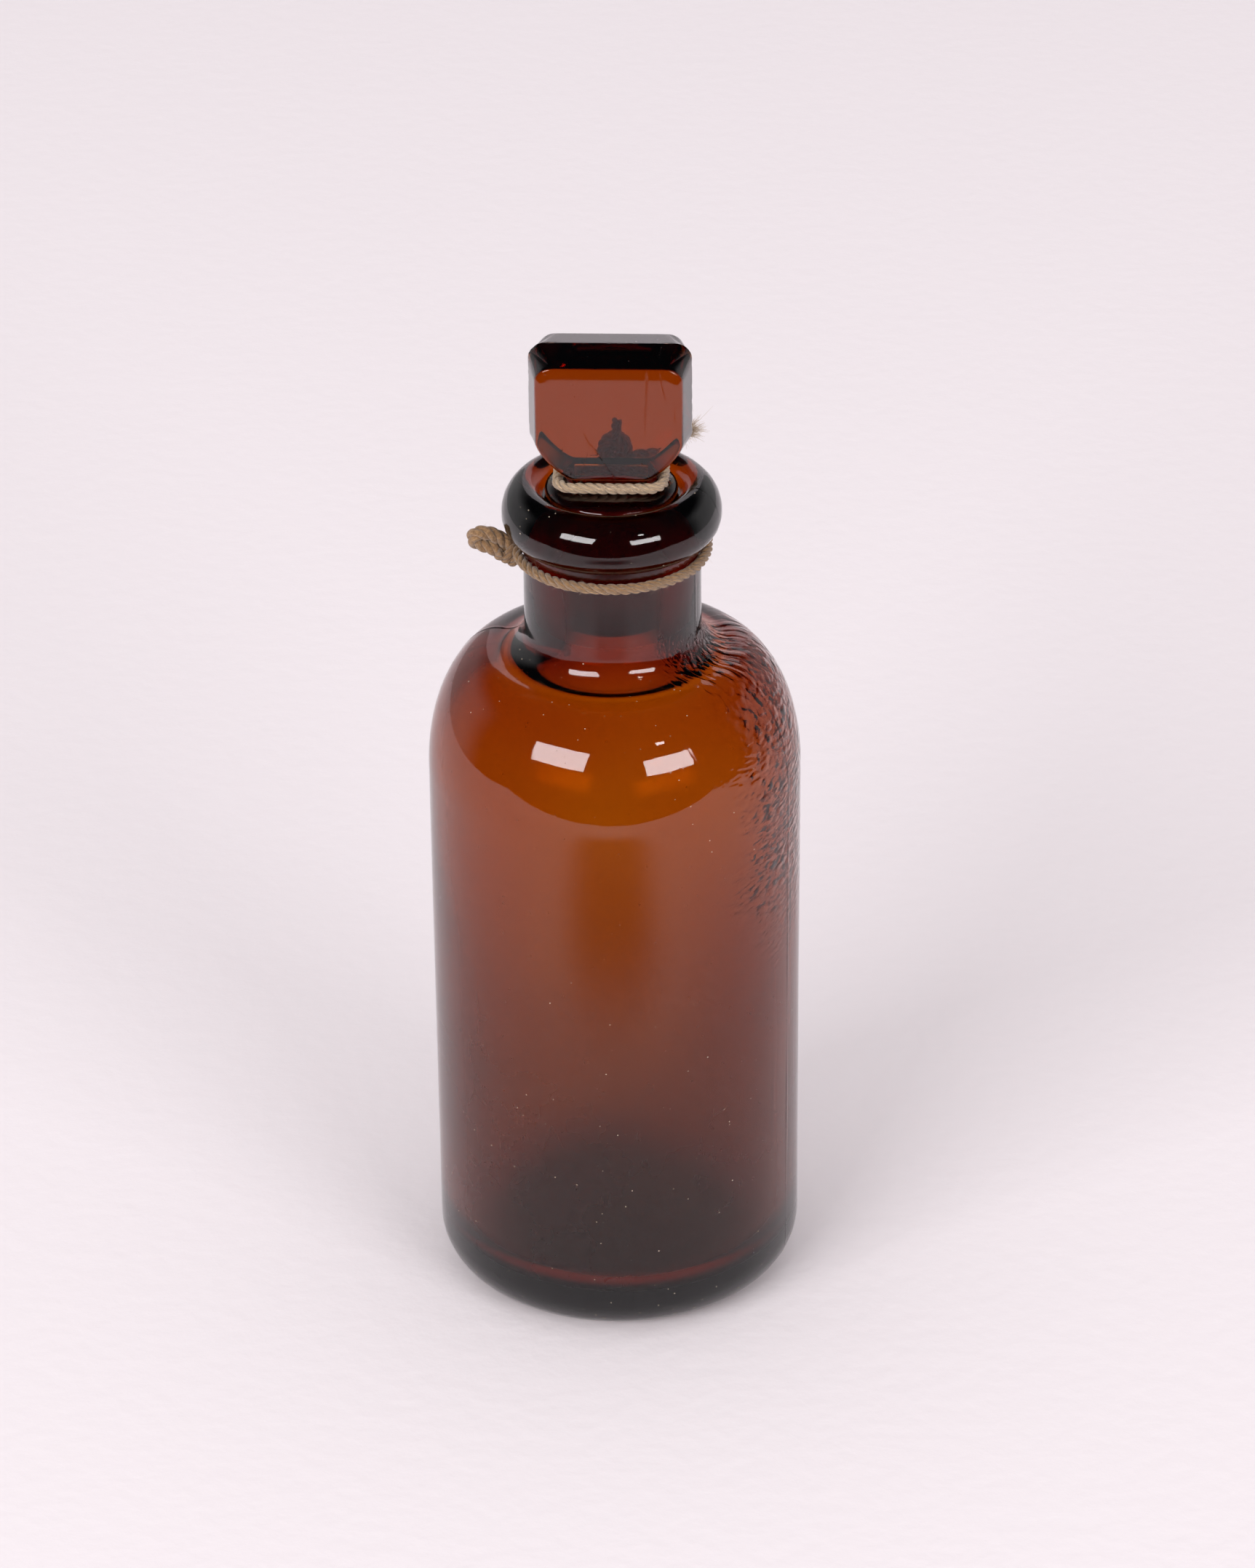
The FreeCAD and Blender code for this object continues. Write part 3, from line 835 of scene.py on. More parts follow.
@dataclass
class DustFlakes:
    """Pale grains stuck to the bottle, most of them near the foot. Millimetres."""

    count: int = 460
    neck: Pair = (127.0, 144.0)
    size: Pair = (0.05, 0.17)
    thickness: float = 0.035

    def build(self, bottle: Bottle, finish: bpy.types.Material) -> bpy.types.Object:
        """Scatters flat octahedra over the outside.

        A grain's corners are its centre plus or minus a radius along two tangents and a small
        thickness along the normal; the place along the outline is drawn as the power 1.7 of a uniform number.

        Args:
            bottle: the bottle whose outside carries the grains.
            finish: their material.

        Returns:
            The grains as one object that rides the bottle.
        """
        rng = np.random.default_rng(77)
        line = spaced_along(bottle.outside(), 900)
        line = line[(line[:, 1] > 7.0) | (line[:, 0] > bottle.base_radius - 2.0)]
        line = line[(line[:, 1] < self.neck[0]) | (line[:, 1] > self.neck[1])]
        pick = (rng.uniform(0.0, 1.0, self.count) ** 1.7 * (len(line) - 3)).astype(int) + 1
        azimuth = rng.uniform(0.0, 2 * np.pi, self.count)
        step = unit(line[pick + 1] - line[pick - 1])
        cosine, sine, zero = np.cos(azimuth), np.sin(azimuth), np.zeros(self.count)
        normal = np.column_stack([step[:, 1] * cosine, step[:, 1] * sine, -step[:, 0]])
        across = np.column_stack([-sine, cosine, zero])
        along = np.column_stack([step[:, 0] * cosine, step[:, 0] * sine, step[:, 1]])
        centre = np.column_stack([line[pick, 0] * cosine, line[pick, 0] * sine,
                                  line[pick, 1]]) + normal * 0.03
        wide = rng.uniform(*self.size, self.count)[:, None]
        slim = wide * rng.uniform(0.5, 1.0, (self.count, 1))
        corners = np.stack([centre + across * wide, centre + along * slim, centre - across * wide,
                            centre - along * slim,
                            centre + normal * self.thickness, centre - normal * self.thickness], axis=1)
        one = np.array([[0, 1, 4, 4], [1, 2, 4, 4], [2, 3, 4, 4], [3, 0, 4, 4], [1, 0, 5, 5], [2, 1, 5, 5],
                        [3, 2, 5, 5], [0, 3, 5, 5]])
        faces = (one[None] + 6 * np.arange(self.count)[:, None, None]).reshape(-1, 4)
        made = mesh_object("dust_flakes", corners.reshape(-1, 3), faces)
        made.data.materials.append(finish)
        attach(made, "bottle")
        return made


# --------------------------------------------------------------------------------------
# Stopper
# --------------------------------------------------------------------------------------


@dataclass
class Stopper:
    """The pressed stopper: ground plug, domed collar, oblong waist and bevelled tablet, one closed skin."""

    plug_top_radius: float = 9.3
    plug_top: float = 151.0
    plug_bottom: float = 128.5
    taper: float = 0.05
    collar_radius: float = 11.35
    collar_edge: float = 0.9
    collar_top_radius: float = 8.6
    collar_top: float = 153.5
    waist: Point = (8.0, 6.3, 5.0)
    tablet_face: float = 7.2
    tablet_half_width: float = 12.3
    tablet_flat_half: float = 6.2
    tablet_bottom: float = 156.6
    tablet_top: float = 177.4
    lower_corner: float = 6.6
    upper_corner: float = 2.8
    seam_step: float = 1.5
    columns: int = 320

    def turned_rows(self) -> np.ndarray:
        """Meridian of the plug and the collar, from the foot of the plug to the top of the dome."""
        foot = self.plug_top_radius - self.taper * (self.plug_top - self.plug_bottom)
        edge = (self.collar_radius - 0.5, self.plug_top + self.collar_edge)
        dome = oval((self.collar_top_radius - 0.4, self.plug_top + self.collar_edge),
                    self.collar_radius - self.collar_top_radius + 0.4,
                    self.collar_top - self.plug_top - self.collar_edge, 0.0, 84.0, 60)
        line = np.concatenate([
            np.array([[0.0, self.plug_bottom], [foot - 0.6, self.plug_bottom], [foot, self.plug_bottom + 0.6],
                      [self.plug_top_radius, self.plug_top]]),
            oval(edge, 0.5, self.collar_edge, -90.0, 0.0, 20),
            dome,
        ])
        return spaced_along(line, 130, (150.5, 153.5, 2.0))

    def half_width(self, height: np.ndarray, grow: np.ndarray | float) -> np.ndarray:
        """Half width of the tablet's outline, grown outwards by grow, at a height.

        Below, the corner is flat + (side - flat) (1 - (1 - t)^n)^(1/n) with n 1.36, and above it is
        a quarter circle.

        Returns:
            Array of millimetres.
        """
        side = self.tablet_half_width + grow
        bottom = self.tablet_bottom - 0.6 * grow
        t = np.clip((height - bottom) / self.lower_corner, 0.0, 1.0)
        lower = self.tablet_flat_half + (side - self.tablet_flat_half) * (1 - (1 - t) ** 1.36) ** (1 / 1.36)
        rise = np.clip(height - (self.tablet_top + grow - self.upper_corner), 0.0, self.upper_corner)
        upper = side - self.upper_corner + np.sqrt(self.upper_corner**2 - rise**2)
        return np.minimum(lower, upper)

    def tablet_rows(self) -> tuple[np.ndarray, np.ndarray, np.ndarray, np.ndarray]:
        """Height, seam half width, face half width and half depth of each level from waist to ridge."""
        ridge, top, foot = self.tablet_top + self.seam_step, self.tablet_top, self.tablet_bottom
        height = np.concatenate([
            np.linspace(154.1, foot - 0.8, 6),
            np.linspace(foot - 0.65, foot + 1.4, 18),
            np.linspace(foot + 1.6, foot + 7.4, 26),
            np.linspace(foot + 7.7, top - 1.2, 44),
            ridge - (ridge - top + 1.0) * (1 - np.sin(np.linspace(0.0, np.pi / 2, 34))),
        ])
        drop = ridge - height
        bevel = self.tablet_face * drop / self.seam_step
        soft = 18.0
        depth = (self.tablet_face**-soft + np.maximum(bevel, 1e-3) ** -soft) ** (-1 / soft)
        open_out = smooth_step(foot - 0.8, foot + 0.3, height)
        depth = np.where(height < 160, self.waist[2] + (self.tablet_face - self.waist[2]) * open_out, depth)
        grow_here = np.clip(self.seam_step * (1 - depth / self.tablet_face), 0.0, None)
        seam = self.half_width(height, self.seam_step)
        face = self.half_width(height, np.where(height > self.tablet_top - 1, grow_here, 0.0))
        face = np.where(height > self.tablet_top, self.tablet_half_width - self.upper_corner + grow_here,
                        face)
        low = height < foot + 2
        seam = np.where(low, np.maximum(seam, self.waist[0] - 0.4 * smooth_step(foot - 0.7, foot + 0.5,
                                                                                height)), seam)
        face = np.where(low, np.maximum(face, self.waist[1]), face)
        return height, seam, np.minimum(face, seam), depth

    def section(self, seam: np.ndarray, face: np.ndarray, depth: np.ndarray, spine: np.ndarray) -> np.ndarray:
        """Bevelled oblong sections, one row for each level.

        Rays leave (spine cos a, 0) along (cos a, sin a). They meet the face at rho = depth / sin a
        and the bevel, the line from (seam, 0) to (face, depth), at its own rho, and the two are
        joined as (rho1^-p + rho2^-p)^(-1/p), which rounds the edge between them.

        Returns:
            Array (levels, columns, 2).
        """
        angle = np.linspace(0.0, 2 * np.pi, self.columns, endpoint=False)[None, :]
        cos, sin = np.abs(np.cos(angle)), np.abs(np.sin(angle)) + 1e-9
        seam, face, depth, spine = (value[:, None] for value in (seam, face, np.maximum(depth, 1e-4), spine))
        to_bevel = depth * (seam - spine * cos) / (depth * cos + (seam - face) * sin + 1e-9)
        to_face = depth / sin
        power = 26.0
        rho = (to_bevel**-power + to_face**-power) ** (-1 / power)
        return np.stack([(spine + rho) * cos * np.sign(np.cos(angle)), rho * sin * np.sign(np.sin(angle))],
                        axis=-1)

    def chips(self, points: np.ndarray) -> np.ndarray:
        """Small bites out of the raised seam: the outermost 0.5 mm is pulled in by noise along the edge."""
        x, y, z = points[..., 0], points[..., 1], points[..., 2]
        near = np.exp(-((y / 0.35) ** 2)) * smooth_step(157.0, 160.0, z)
        bite = np.clip(value_noise(x / 1.1 + 7.0, z / 1.1, 31) + 0.6 * value_noise(x / 0.45, z / 0.45, 32),
                       0.0, 1.5)
        middle = np.array([0.0, 0.0, 168.0])
        inwards = unit(middle - points)
        return points + inwards * (0.11 * bite * near)[..., None]

    def build(self) -> bpy.types.Object:
        """Stacks the turned rows, the change to an oblong and the tablet's levels into one closed skin."""
        angle = np.linspace(0.0, 2 * np.pi, self.columns, endpoint=False)
        turned = self.turned_rows()[1:]
        circle = np.stack([np.cos(angle), np.sin(angle)], axis=-1)
        lower = np.concatenate([
            turned[:, :1, None] * circle[None],
            np.broadcast_to(turned[:, 1:, None], (len(turned), self.columns, 1)),
        ], axis=-1)
        height, seam, face, depth = self.tablet_rows()
        spine = 8.6 * smooth_step(155.6, 161.0, height)
        flat = self.section(seam, face, depth, spine)
        upper = np.concatenate([flat, np.broadcast_to(height[:, None, None], flat.shape[:2] + (1,))], axis=-1)
        t = np.linspace(0.0, 1.0, 12)[1:-1, None, None]
        between = lower[-1] + (upper[0] - lower[-1]) * np.concatenate([
            np.broadcast_to(np.sin(t * np.pi / 2), (10, self.columns, 2)),
            np.broadcast_to(1 - np.cos(t * np.pi / 2), (10, self.columns, 1)),
        ], axis=-1)
        points = self.chips(np.concatenate([lower, between, upper]))
        points[-1, :, 1] = 0.0
        rows = len(points)
        vertices = np.concatenate([points.reshape(-1, 3), [[0.0, 0.0, self.plug_bottom]]])
        numbers = np.arange(rows * self.columns).reshape(rows, self.columns)
        across = np.arange(self.columns)
        mirror = (self.columns - across) % self.columns
        numbers[-1] = np.where(across <= self.columns // 2, numbers[-1], numbers[-1][mirror])
        faces = np.concatenate([ring_faces(numbers), fan_faces(numbers[0], len(vertices) - 1, False)])
        used = np.unique(faces)
        renumber = np.zeros(len(vertices), int)
        renumber[used] = np.arange(len(used))
        made = mesh_object("stopper_glass", vertices[used], renumber[faces])
        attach(made, "stopper")
        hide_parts("stopper")
        return made

    def dress(self, made: bpy.types.Object, *groups: Tree) -> None:
        """Gives the stopper its amber glass, ground on the plug, made with the same groups."""
        finish = AmberGlass("stopper_amber", 0.012, 0.05, 0.7, 0.8,
                            (self.plug_bottom - 1, self.plug_top - 0.3),
                            self.plug_top_radius + 0.2, colour=(0.925, 0.815, 0.40, 1.0))
        made.data.materials.append(finish.material(*groups))


# --------------------------------------------------------------------------------------
# Twine
# --------------------------------------------------------------------------------------


class Lay(Enum):
    """Which way the strands of a cord are twisted."""

    Z_TWIST = 1
    S_TWIST = -1


def spline_line(points: list[Point], closed: bool, count: int) -> np.ndarray:
    """Reads evenly spaced points off the NURBS spline of a route.

    Args:
        points: control points in millimetres.
        closed: whether the spline runs back into its start.
        count: number of points wanted.

    Returns:
        Array (count, 3) in millimetres; a closed line ends where it starts.
    """
    curve = bpy.data.curves.new("route", "CURVE")
    curve.dimensions = "3D"
    curve.resolution_u = 24
    spline = curve.splines.new("NURBS")
    spline.points.add(len(points) - 1)
    spline.points.foreach_set("co",
                              np.column_stack([points, np.ones(len(points))]).astype(np.float32).ravel())
    spline.order_u = 3
    spline.use_endpoint_u = not closed
    spline.use_cyclic_u = closed
    holder = bpy.data.objects.new("route", curve)
    bpy.context.scene.collection.objects.link(holder)
    bpy.context.view_layer.update()
    mesh = bpy.data.meshes.new_from_object(holder)
    read = np.zeros(len(mesh.vertices) * 3, np.float32)
    mesh.vertices.foreach_get("co", read)
    line = read.reshape(-1, 3).astype(float)
    bpy.data.objects.remove(holder)
    bpy.data.curves.remove(curve)
    bpy.data.meshes.remove(mesh)
    if closed:
        line = np.concatenate([line, line[:1]])
    reach = reach_along(line)
    keep = np.concatenate([[True], np.diff(reach) > 1e-6])
    line, reach = line[keep], reach[keep]
    at = np.linspace(0.0, reach[-1], count)
    return np.column_stack([np.interp(at, reach, line[:, i]) for i in range(3)])


@dataclass
class Twine:
    """Three-ply twine: strands wound round a line, with stray hairs."""

    diameter: float = 1.85
    pitch: float = 5.2
    strands: int = 3
    lay: Lay = Lay.Z_TWIST
    sides: int = 14

    def frame_along(self, line: np.ndarray, guide: Point) -> Arrays:
        """Two unit vectors square to the line, the first also square to the guide direction."""
        tangent = unit(np.gradient(line, axis=0))
        first = unit(np.cross(tangent, np.array(guide)))
        return first, np.cross(tangent, first)

    def strand_lines(self, line: np.ndarray, guide: Point, loosen: float = 1.0) -> list[np.ndarray]:
        """Centre lines of the strands.

        Each is line + offset (cos w * first + sin w * second), with w turning once a pitch.
        """
        first, second = self.frame_along(line, guide)
        reach = reach_along(line)
        turns = max(1.0, round(reach[-1] / self.pitch)) / reach[-1]
        offset = 0.25 * self.diameter * loosen
        made = []
        for strand in range(self.strands):
            turn = 2 * np.pi * (self.lay.value * reach * turns + strand / self.strands)
            wobble = 1 + 0.1 * value_noise(reach / 1.7, np.full_like(reach, strand * 7.0), 41)
            round_line = np.cos(turn)[:, None] * first + np.sin(turn)[:, None] * second
            made.append(line + (offset * wobble)[:, None] * round_line)
        return made

    def build(self, name: str, line: np.ndarray, guide: Point, loosen: float = 1.0) -> bpy.types.Object:
        """Sweeps every strand as a lumpy tube.

        Args:
            name: object name.
            line: centre line in millimetres.
            guide: direction that the line never runs along.
            loosen: how far apart the strands lie, 1 when they are laid tight.

        Returns:
            The cord, with a UV map that runs along and round each strand.
        """
        parts = []
        for number, strand in enumerate(self.strand_lines(line, guide, loosen)):
            first, _ = self.frame_along(strand, guide)
            reach = reach_along(strand)
            lumps = 1 + 0.09 * value_noise(reach / 0.9, np.full_like(reach, number * 5.0), 42)
            parts.append(tube_arrays(strand, 0.262 * self.diameter * lumps, first, self.sides))
        vertices, faces = joined(parts)
        made = mesh_object(name, vertices, faces)
        self.lay_uv(made, len(line), len(parts))
        return made

    def lay_uv(self, made: bpy.types.Object, rows: int, strands: int) -> None:
        """Lays out the UVs: u grows along a strand, v is the share of a turn round it."""
        per = rows * self.sides + 2
        number = np.arange(per * strands)
        inside = number % per
        along = np.where(inside < rows * self.sides, inside // self.sides, 0) + number // per * 37.0
        round_it = (inside % self.sides) / self.sides
        loops = np.zeros(len(made.data.loops), np.int32)
        made.data.loops.foreach_get("vertex_index", loops)
        uv = made.data.uv_layers.new(name="lay")
        uv.data.foreach_set("uv", np.column_stack([along[loops] * 0.35,
                                                   round_it[loops]]).astype(np.float32).ravel())


def hair_arrays(roots: np.ndarray, ways: np.ndarray, lengths: np.ndarray, curl: np.ndarray,
                thickness: float) -> Arrays:
    """Many thin three-sided hairs in one go.

    A hair is root + way t + curl t^2 for t from 0 to its length, tapering to a third of its
    thickness at its tip.

    Args:
        roots, ways, curl: arrays (n, 3).
        lengths: array (n,).
        thickness: diameter at the root.

    Returns:
        Vertices and faces.
    """
    steps, sides = 6, 3
    t = np.linspace(0.0, 1.0, steps)[None, :, None] * lengths[:, None, None]
    line = roots[:, None] + ways[:, None] * t + curl[:, None] * t**2
    tangent = np.gradient(line, axis=1)
    tangent /= np.linalg.norm(tangent, axis=2, keepdims=True) + 1e-9
    helper = np.where(np.abs(tangent[..., 2:]) > 0.9, [[[1.0, 0.0, 0.0]]], [[[0.0, 0.0, 1.0]]])
    first = np.cross(tangent, helper)
    first /= np.linalg.norm(first, axis=2, keepdims=True)
    second = np.cross(tangent, first)
    angle = (np.arange(sides) * 2 * np.pi / sides)[None, None, :, None]
    taper = (thickness / 2 * np.linspace(1.0, 0.33, steps))[None, :, None, None]
    ring = line[:, :, None] + taper * (np.cos(angle) * first[:, :, None] + np.sin(angle) * second[:, :, None])
    count = len(roots)
    per = steps * sides + 2
    vertices = np.concatenate([ring.reshape(count, -1, 3), line[:, :1], line[:, -1:]], axis=1).reshape(-1, 3)
    numbers = np.arange(steps * sides).reshape(steps, sides)
    one = np.concatenate([
        ring_faces(numbers),
        fan_faces(numbers[0], per - 2, False),
        fan_faces(numbers[-1], per - 1, True),
    ])
    faces = (one[None] + (np.arange(count) * per)[:, None, None]).reshape(-1, 4)
    return vertices, faces


def stray_hairs(line: np.ndarray, diameter: float, count: int, length: float, seed: int,
                guide: Point) -> Arrays:
    """Hairs that stand off a cord at random places, mostly along its lay."""
    rng = np.random.default_rng(seed)
    at = rng.integers(2, len(line) - 2, count)
    tangent = unit(line[at + 1] - line[at - 1])
    first = unit(np.cross(tangent, np.array(guide)))
    second = np.cross(tangent, first)
    turn = rng.uniform(0, 2 * np.pi, count)[:, None]
    out = np.cos(turn) * first + np.sin(turn) * second
    roots = line[at] + out * diameter * 0.42
    outwards = out * rng.uniform(0.25, 0.9, (count, 1))
    ways = unit(outwards + tangent * rng.choice([-1.0, 1.0], (count, 1)) * 0.8)
    curl = rng.normal(0.0, 0.16, (count, 3))
    return hair_arrays(roots, ways, rng.uniform(0.35, 1.0, count) * length, curl, 0.035)


@dataclass
class NeckTie:
    """The tie under the lip: a loop, the wraps that lock it and a folded bight. Millimetres."""

    neck_radius: float = 15.2
    gap: float = 0.15
    height: float = 140.9
    twine: Twine = field(default_factory=Twine)
    sag: float = 0.35
    bight: tuple[Point, ...] = (
        (-16.6, -0.9, 140.6), (-18.4, -1.3, 142.5), (-20.6, -1.8, 143.9), (-22.7, -2.0, 144.2),
        (-23.8, -1.7, 143.0), (-22.9, -1.2, 141.6), (-21.0, -1.4, 141.3), (-19.2, -1.6, 140.4),
        (-17.4, -1.2, 139.2),
    )
    wrap_hub: Point = (-17.5, -1.0, 140.2)
    wrap_way: Point = (-0.86, -0.14, 0.5)

    def loop_line(self) -> np.ndarray:
        """The loop: a ring of control points whose quadratic spline has the loop's own radius."""
        radius = self.neck_radius + self.gap + self.twine.diameter / 2
        points = 24
        ring = radius / (0.75 + 0.25 * math.cos(2 * math.pi / points))
        angle = np.linspace(0, 2 * np.pi, points, endpoint=False) + np.pi
        route = [
            (ring * math.cos(a), ring * math.sin(a),
             self.height + self.sag * (0.35 + math.sin(a) + 0.25 * math.sin(3 * a)))
            for a in angle
        ]
        return spline_line(route, True, 560)

    def wraps_line(self) -> np.ndarray:
        """Two and a quarter turns of a helix of radius 1.6 about the bight's root, as one spline."""
        hub, way = np.array(self.wrap_hub), np.array(self.wrap_way)
        way = way / np.linalg.norm(way)
        first = np.cross(way, (0.0, 1.0, 0.0))
        first /= np.linalg.norm(first)
        second = np.cross(way, first)
        turn = np.linspace(0.0, 2 * np.pi * 2.25, 28)[:, None]
        round_way = np.cos(turn) * first + np.sin(turn) * second
        route = hub + way * (turn / (2 * np.pi) - 1.1) * 1.3 + 1.6 * round_way
        return spline_line([tuple(p) for p in route], False, 160)

    def build(self, finish: bpy.types.Material, hair: bpy.types.Material) -> list[bpy.types.Object]:
        up = (0.0, 0.0, 1.0)
        loop_line = self.loop_line()
        loop = self.twine.build("neck_twine_loop", loop_line, up)
        bight_line = spline_line(list(self.bight), False, 170)
        bight = Twine(diameter=2.5, pitch=6.5).build("neck_bight_ply", bight_line, (0.0, 1.0, 0.0))
        wraps_line = self.wraps_line()
        wraps = Twine(diameter=1.7, pitch=4.0).build("neck_wraps", wraps_line, tuple(self.wrap_way))
        hairs = mesh_object("neck_twine_hairs", *joined([
            stray_hairs(loop_line, 1.85, 150, 1.6, 51, up),
            stray_hairs(bight_line, 2.4, 120, 1.5, 52, (0.0, 1.0, 0.0)),
            stray_hairs(wraps_line, 1.7, 50, 1.2, 53, self.wrap_way),
        ]))
        for piece, node in ((loop, "neck_twine"), (bight, "neck_twine_bight"), (wraps, "neck_twine_knot")):
            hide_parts(node)
            piece.data.materials.append(finish)
        hairs.data.materials.append(hair)
        pieces = [loop, bight, wraps, hairs]
        for piece in pieces:
            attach(piece, "neck_tie")
        return pieces


@dataclass
class WaistTie:
    """The tie round the stopper's waist: an oblong loop, its knot and a frayed end. Millimetres."""

    waist_half: Pair = (8.0, 5.0)
    corner: float = 3.0
    height: float = 154.6
    gap: float = 0.02
    twine: Twine = field(default_factory=Twine)
    end: tuple[Point, ...] = ((0.4, 8.4, 155.9), (3.6, 9.2, 156.1), (6.9, 9.7, 156.2), (10.2, 9.4, 157.0),
                              (12.9, 9.0, 158.2))
    hub: Point = (0.5, 9.2, 157.3)
    stub_top: Point = (0.9, 8.6, 163.0)

    def loop_line(self) -> np.ndarray:
        """The oblong loop: straight sides with control points near each corner."""
        out = self.twine.diameter / 2 + self.gap
        x, y, turn = self.waist_half[0] + out, self.waist_half[1] + out, self.corner + out
        bite = turn * 0.42
        quarter = [(x, 0.0), (x, y - turn), (x, y - bite), (x - bite, y), (x - turn, y)]
        route = [(px, py, self.height) for px, py in quarter]
        route += [(0.0, y, self.height)] + [(-px, py, self.height) for px, py in quarter[::-1]]
        route += [(-px, -py, self.height) for px, py in quarter[1:]] + [(0.0, -y, self.height)]
        route += [(px, -py, self.height) for px, py in quarter[:0:-1]]
        return spline_line(route, True, 330)

    def brush(self) -> Arrays:
        """The frayed end: fibres that leave the cut end in a widening, curling tuft."""
        rng = np.random.default_rng(61)
        count = 420
        tip, before = np.array(self.end[-1]), np.array(self.end[-2])
        way = (tip - before) / np.linalg.norm(tip - before)
        spread = rng.normal(0.0, 0.36, (count, 3))
        roots = before + (tip - before) * rng.uniform(0.35, 1.05, (count, 1)) + rng.normal(0.0, 0.33,
                                                                                           (count, 3))
        ways = unit(0.7 * way + spread + np.array([0.15, 0.0, 0.1]))
        curl = rng.normal(0.0, 0.09, (count, 3))
        return hair_arrays(roots, ways, rng.uniform(0.9, 3.2, count), curl, 0.09)

    def build(self, finish: bpy.types.Material, hair: bpy.types.Material) -> list[bpy.types.Object]:
        up = (0.0, 0.0, 1.0)
        loop_line = self.loop_line()
        loop = self.twine.build("waist_twine_loop", loop_line, up)
        end_line = spline_line(list(self.end), False, 90)
        end = self.twine.build("waist_end_ply", end_line, up, 1.15)
        turn = np.linspace(0.0, 2 * np.pi * 3.4, 42)
        swell = 1.0 + 1.25 * np.sin(np.linspace(0.0, np.pi, 42))
        wrap = np.column_stack([np.cos(turn) * swell, np.linspace(-0.6, 1.5, 42),
                                np.sin(turn) * swell * 1.15]) + np.array(self.hub)
        stub = [self.hub, tuple((np.array(self.hub) * 2 + np.array(self.stub_top)) / 3), self.stub_top]
        wrap_line = spline_line([tuple(p) for p in wrap] + stub, False, 190)
        knot = Twine(diameter=1.7, pitch=4.0).build("waist_wraps", wrap_line, (0.35, 0.9, 0.25))
        tuft = mesh_object("waist_twine_tuft", *self.brush())
        hairs = mesh_object("waist_twine_hairs", *stray_hairs(loop_line, 1.85, 90, 1.3, 62, up))
        for piece, node in ((loop, "waist_twine"), (end, "waist_twine_end"), (knot, "waist_twine_knot")):
            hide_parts(node)
            piece.data.materials.append(finish)
        for piece in (tuft, hairs):
            piece.data.materials.append(hair)
        pieces = [loop, end, knot, tuft, hairs]
        for piece in pieces:
            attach(piece, "stopper")
        return pieces


# --------------------------------------------------------------------------------------
# Stage
# --------------------------------------------------------------------------------------


@dataclass(frozen=True)
class Softbox:
    """A rectangular studio light that faces the bottle.

    Angles are seen from the bottle, 0 towards the camera.
    """

    name: str
    azimuth: float
    elevation: float
    width: float
    height: float
    power: float
    distance: float = 3.0

    def build(self, target: Vector) -> bpy.types.Object:
        """Places the light and turns it to the target."""
        lamp = bpy.data.lights.new(self.name, "AREA")
        lamp.shape = "RECTANGLE"
        lamp.size = 2 * self.distance * math.tan(math.radians(self.width / 2))
        lamp.size_y = 2 * self.distance * math.tan(math.radians(self.height / 2))
        lamp.energy = self.power
        lamp.color = (1.0, 0.975, 0.985)
        a, e = math.radians(self.azimuth), math.radians(self.elevation)
        away = Vector((math.sin(a) * math.cos(e), -math.cos(a) * math.cos(e), math.sin(e)))
        made = bpy.data.objects.new(self.name, lamp)
        made.location = target + away * self.distance
        made.rotation_mode = "QUATERNION"
        made.rotation_quaternion = away.to_track_quat("Z", "Y")
        bpy.context.scene.collection.objects.link(made)
        made.visible_camera = False
        return made


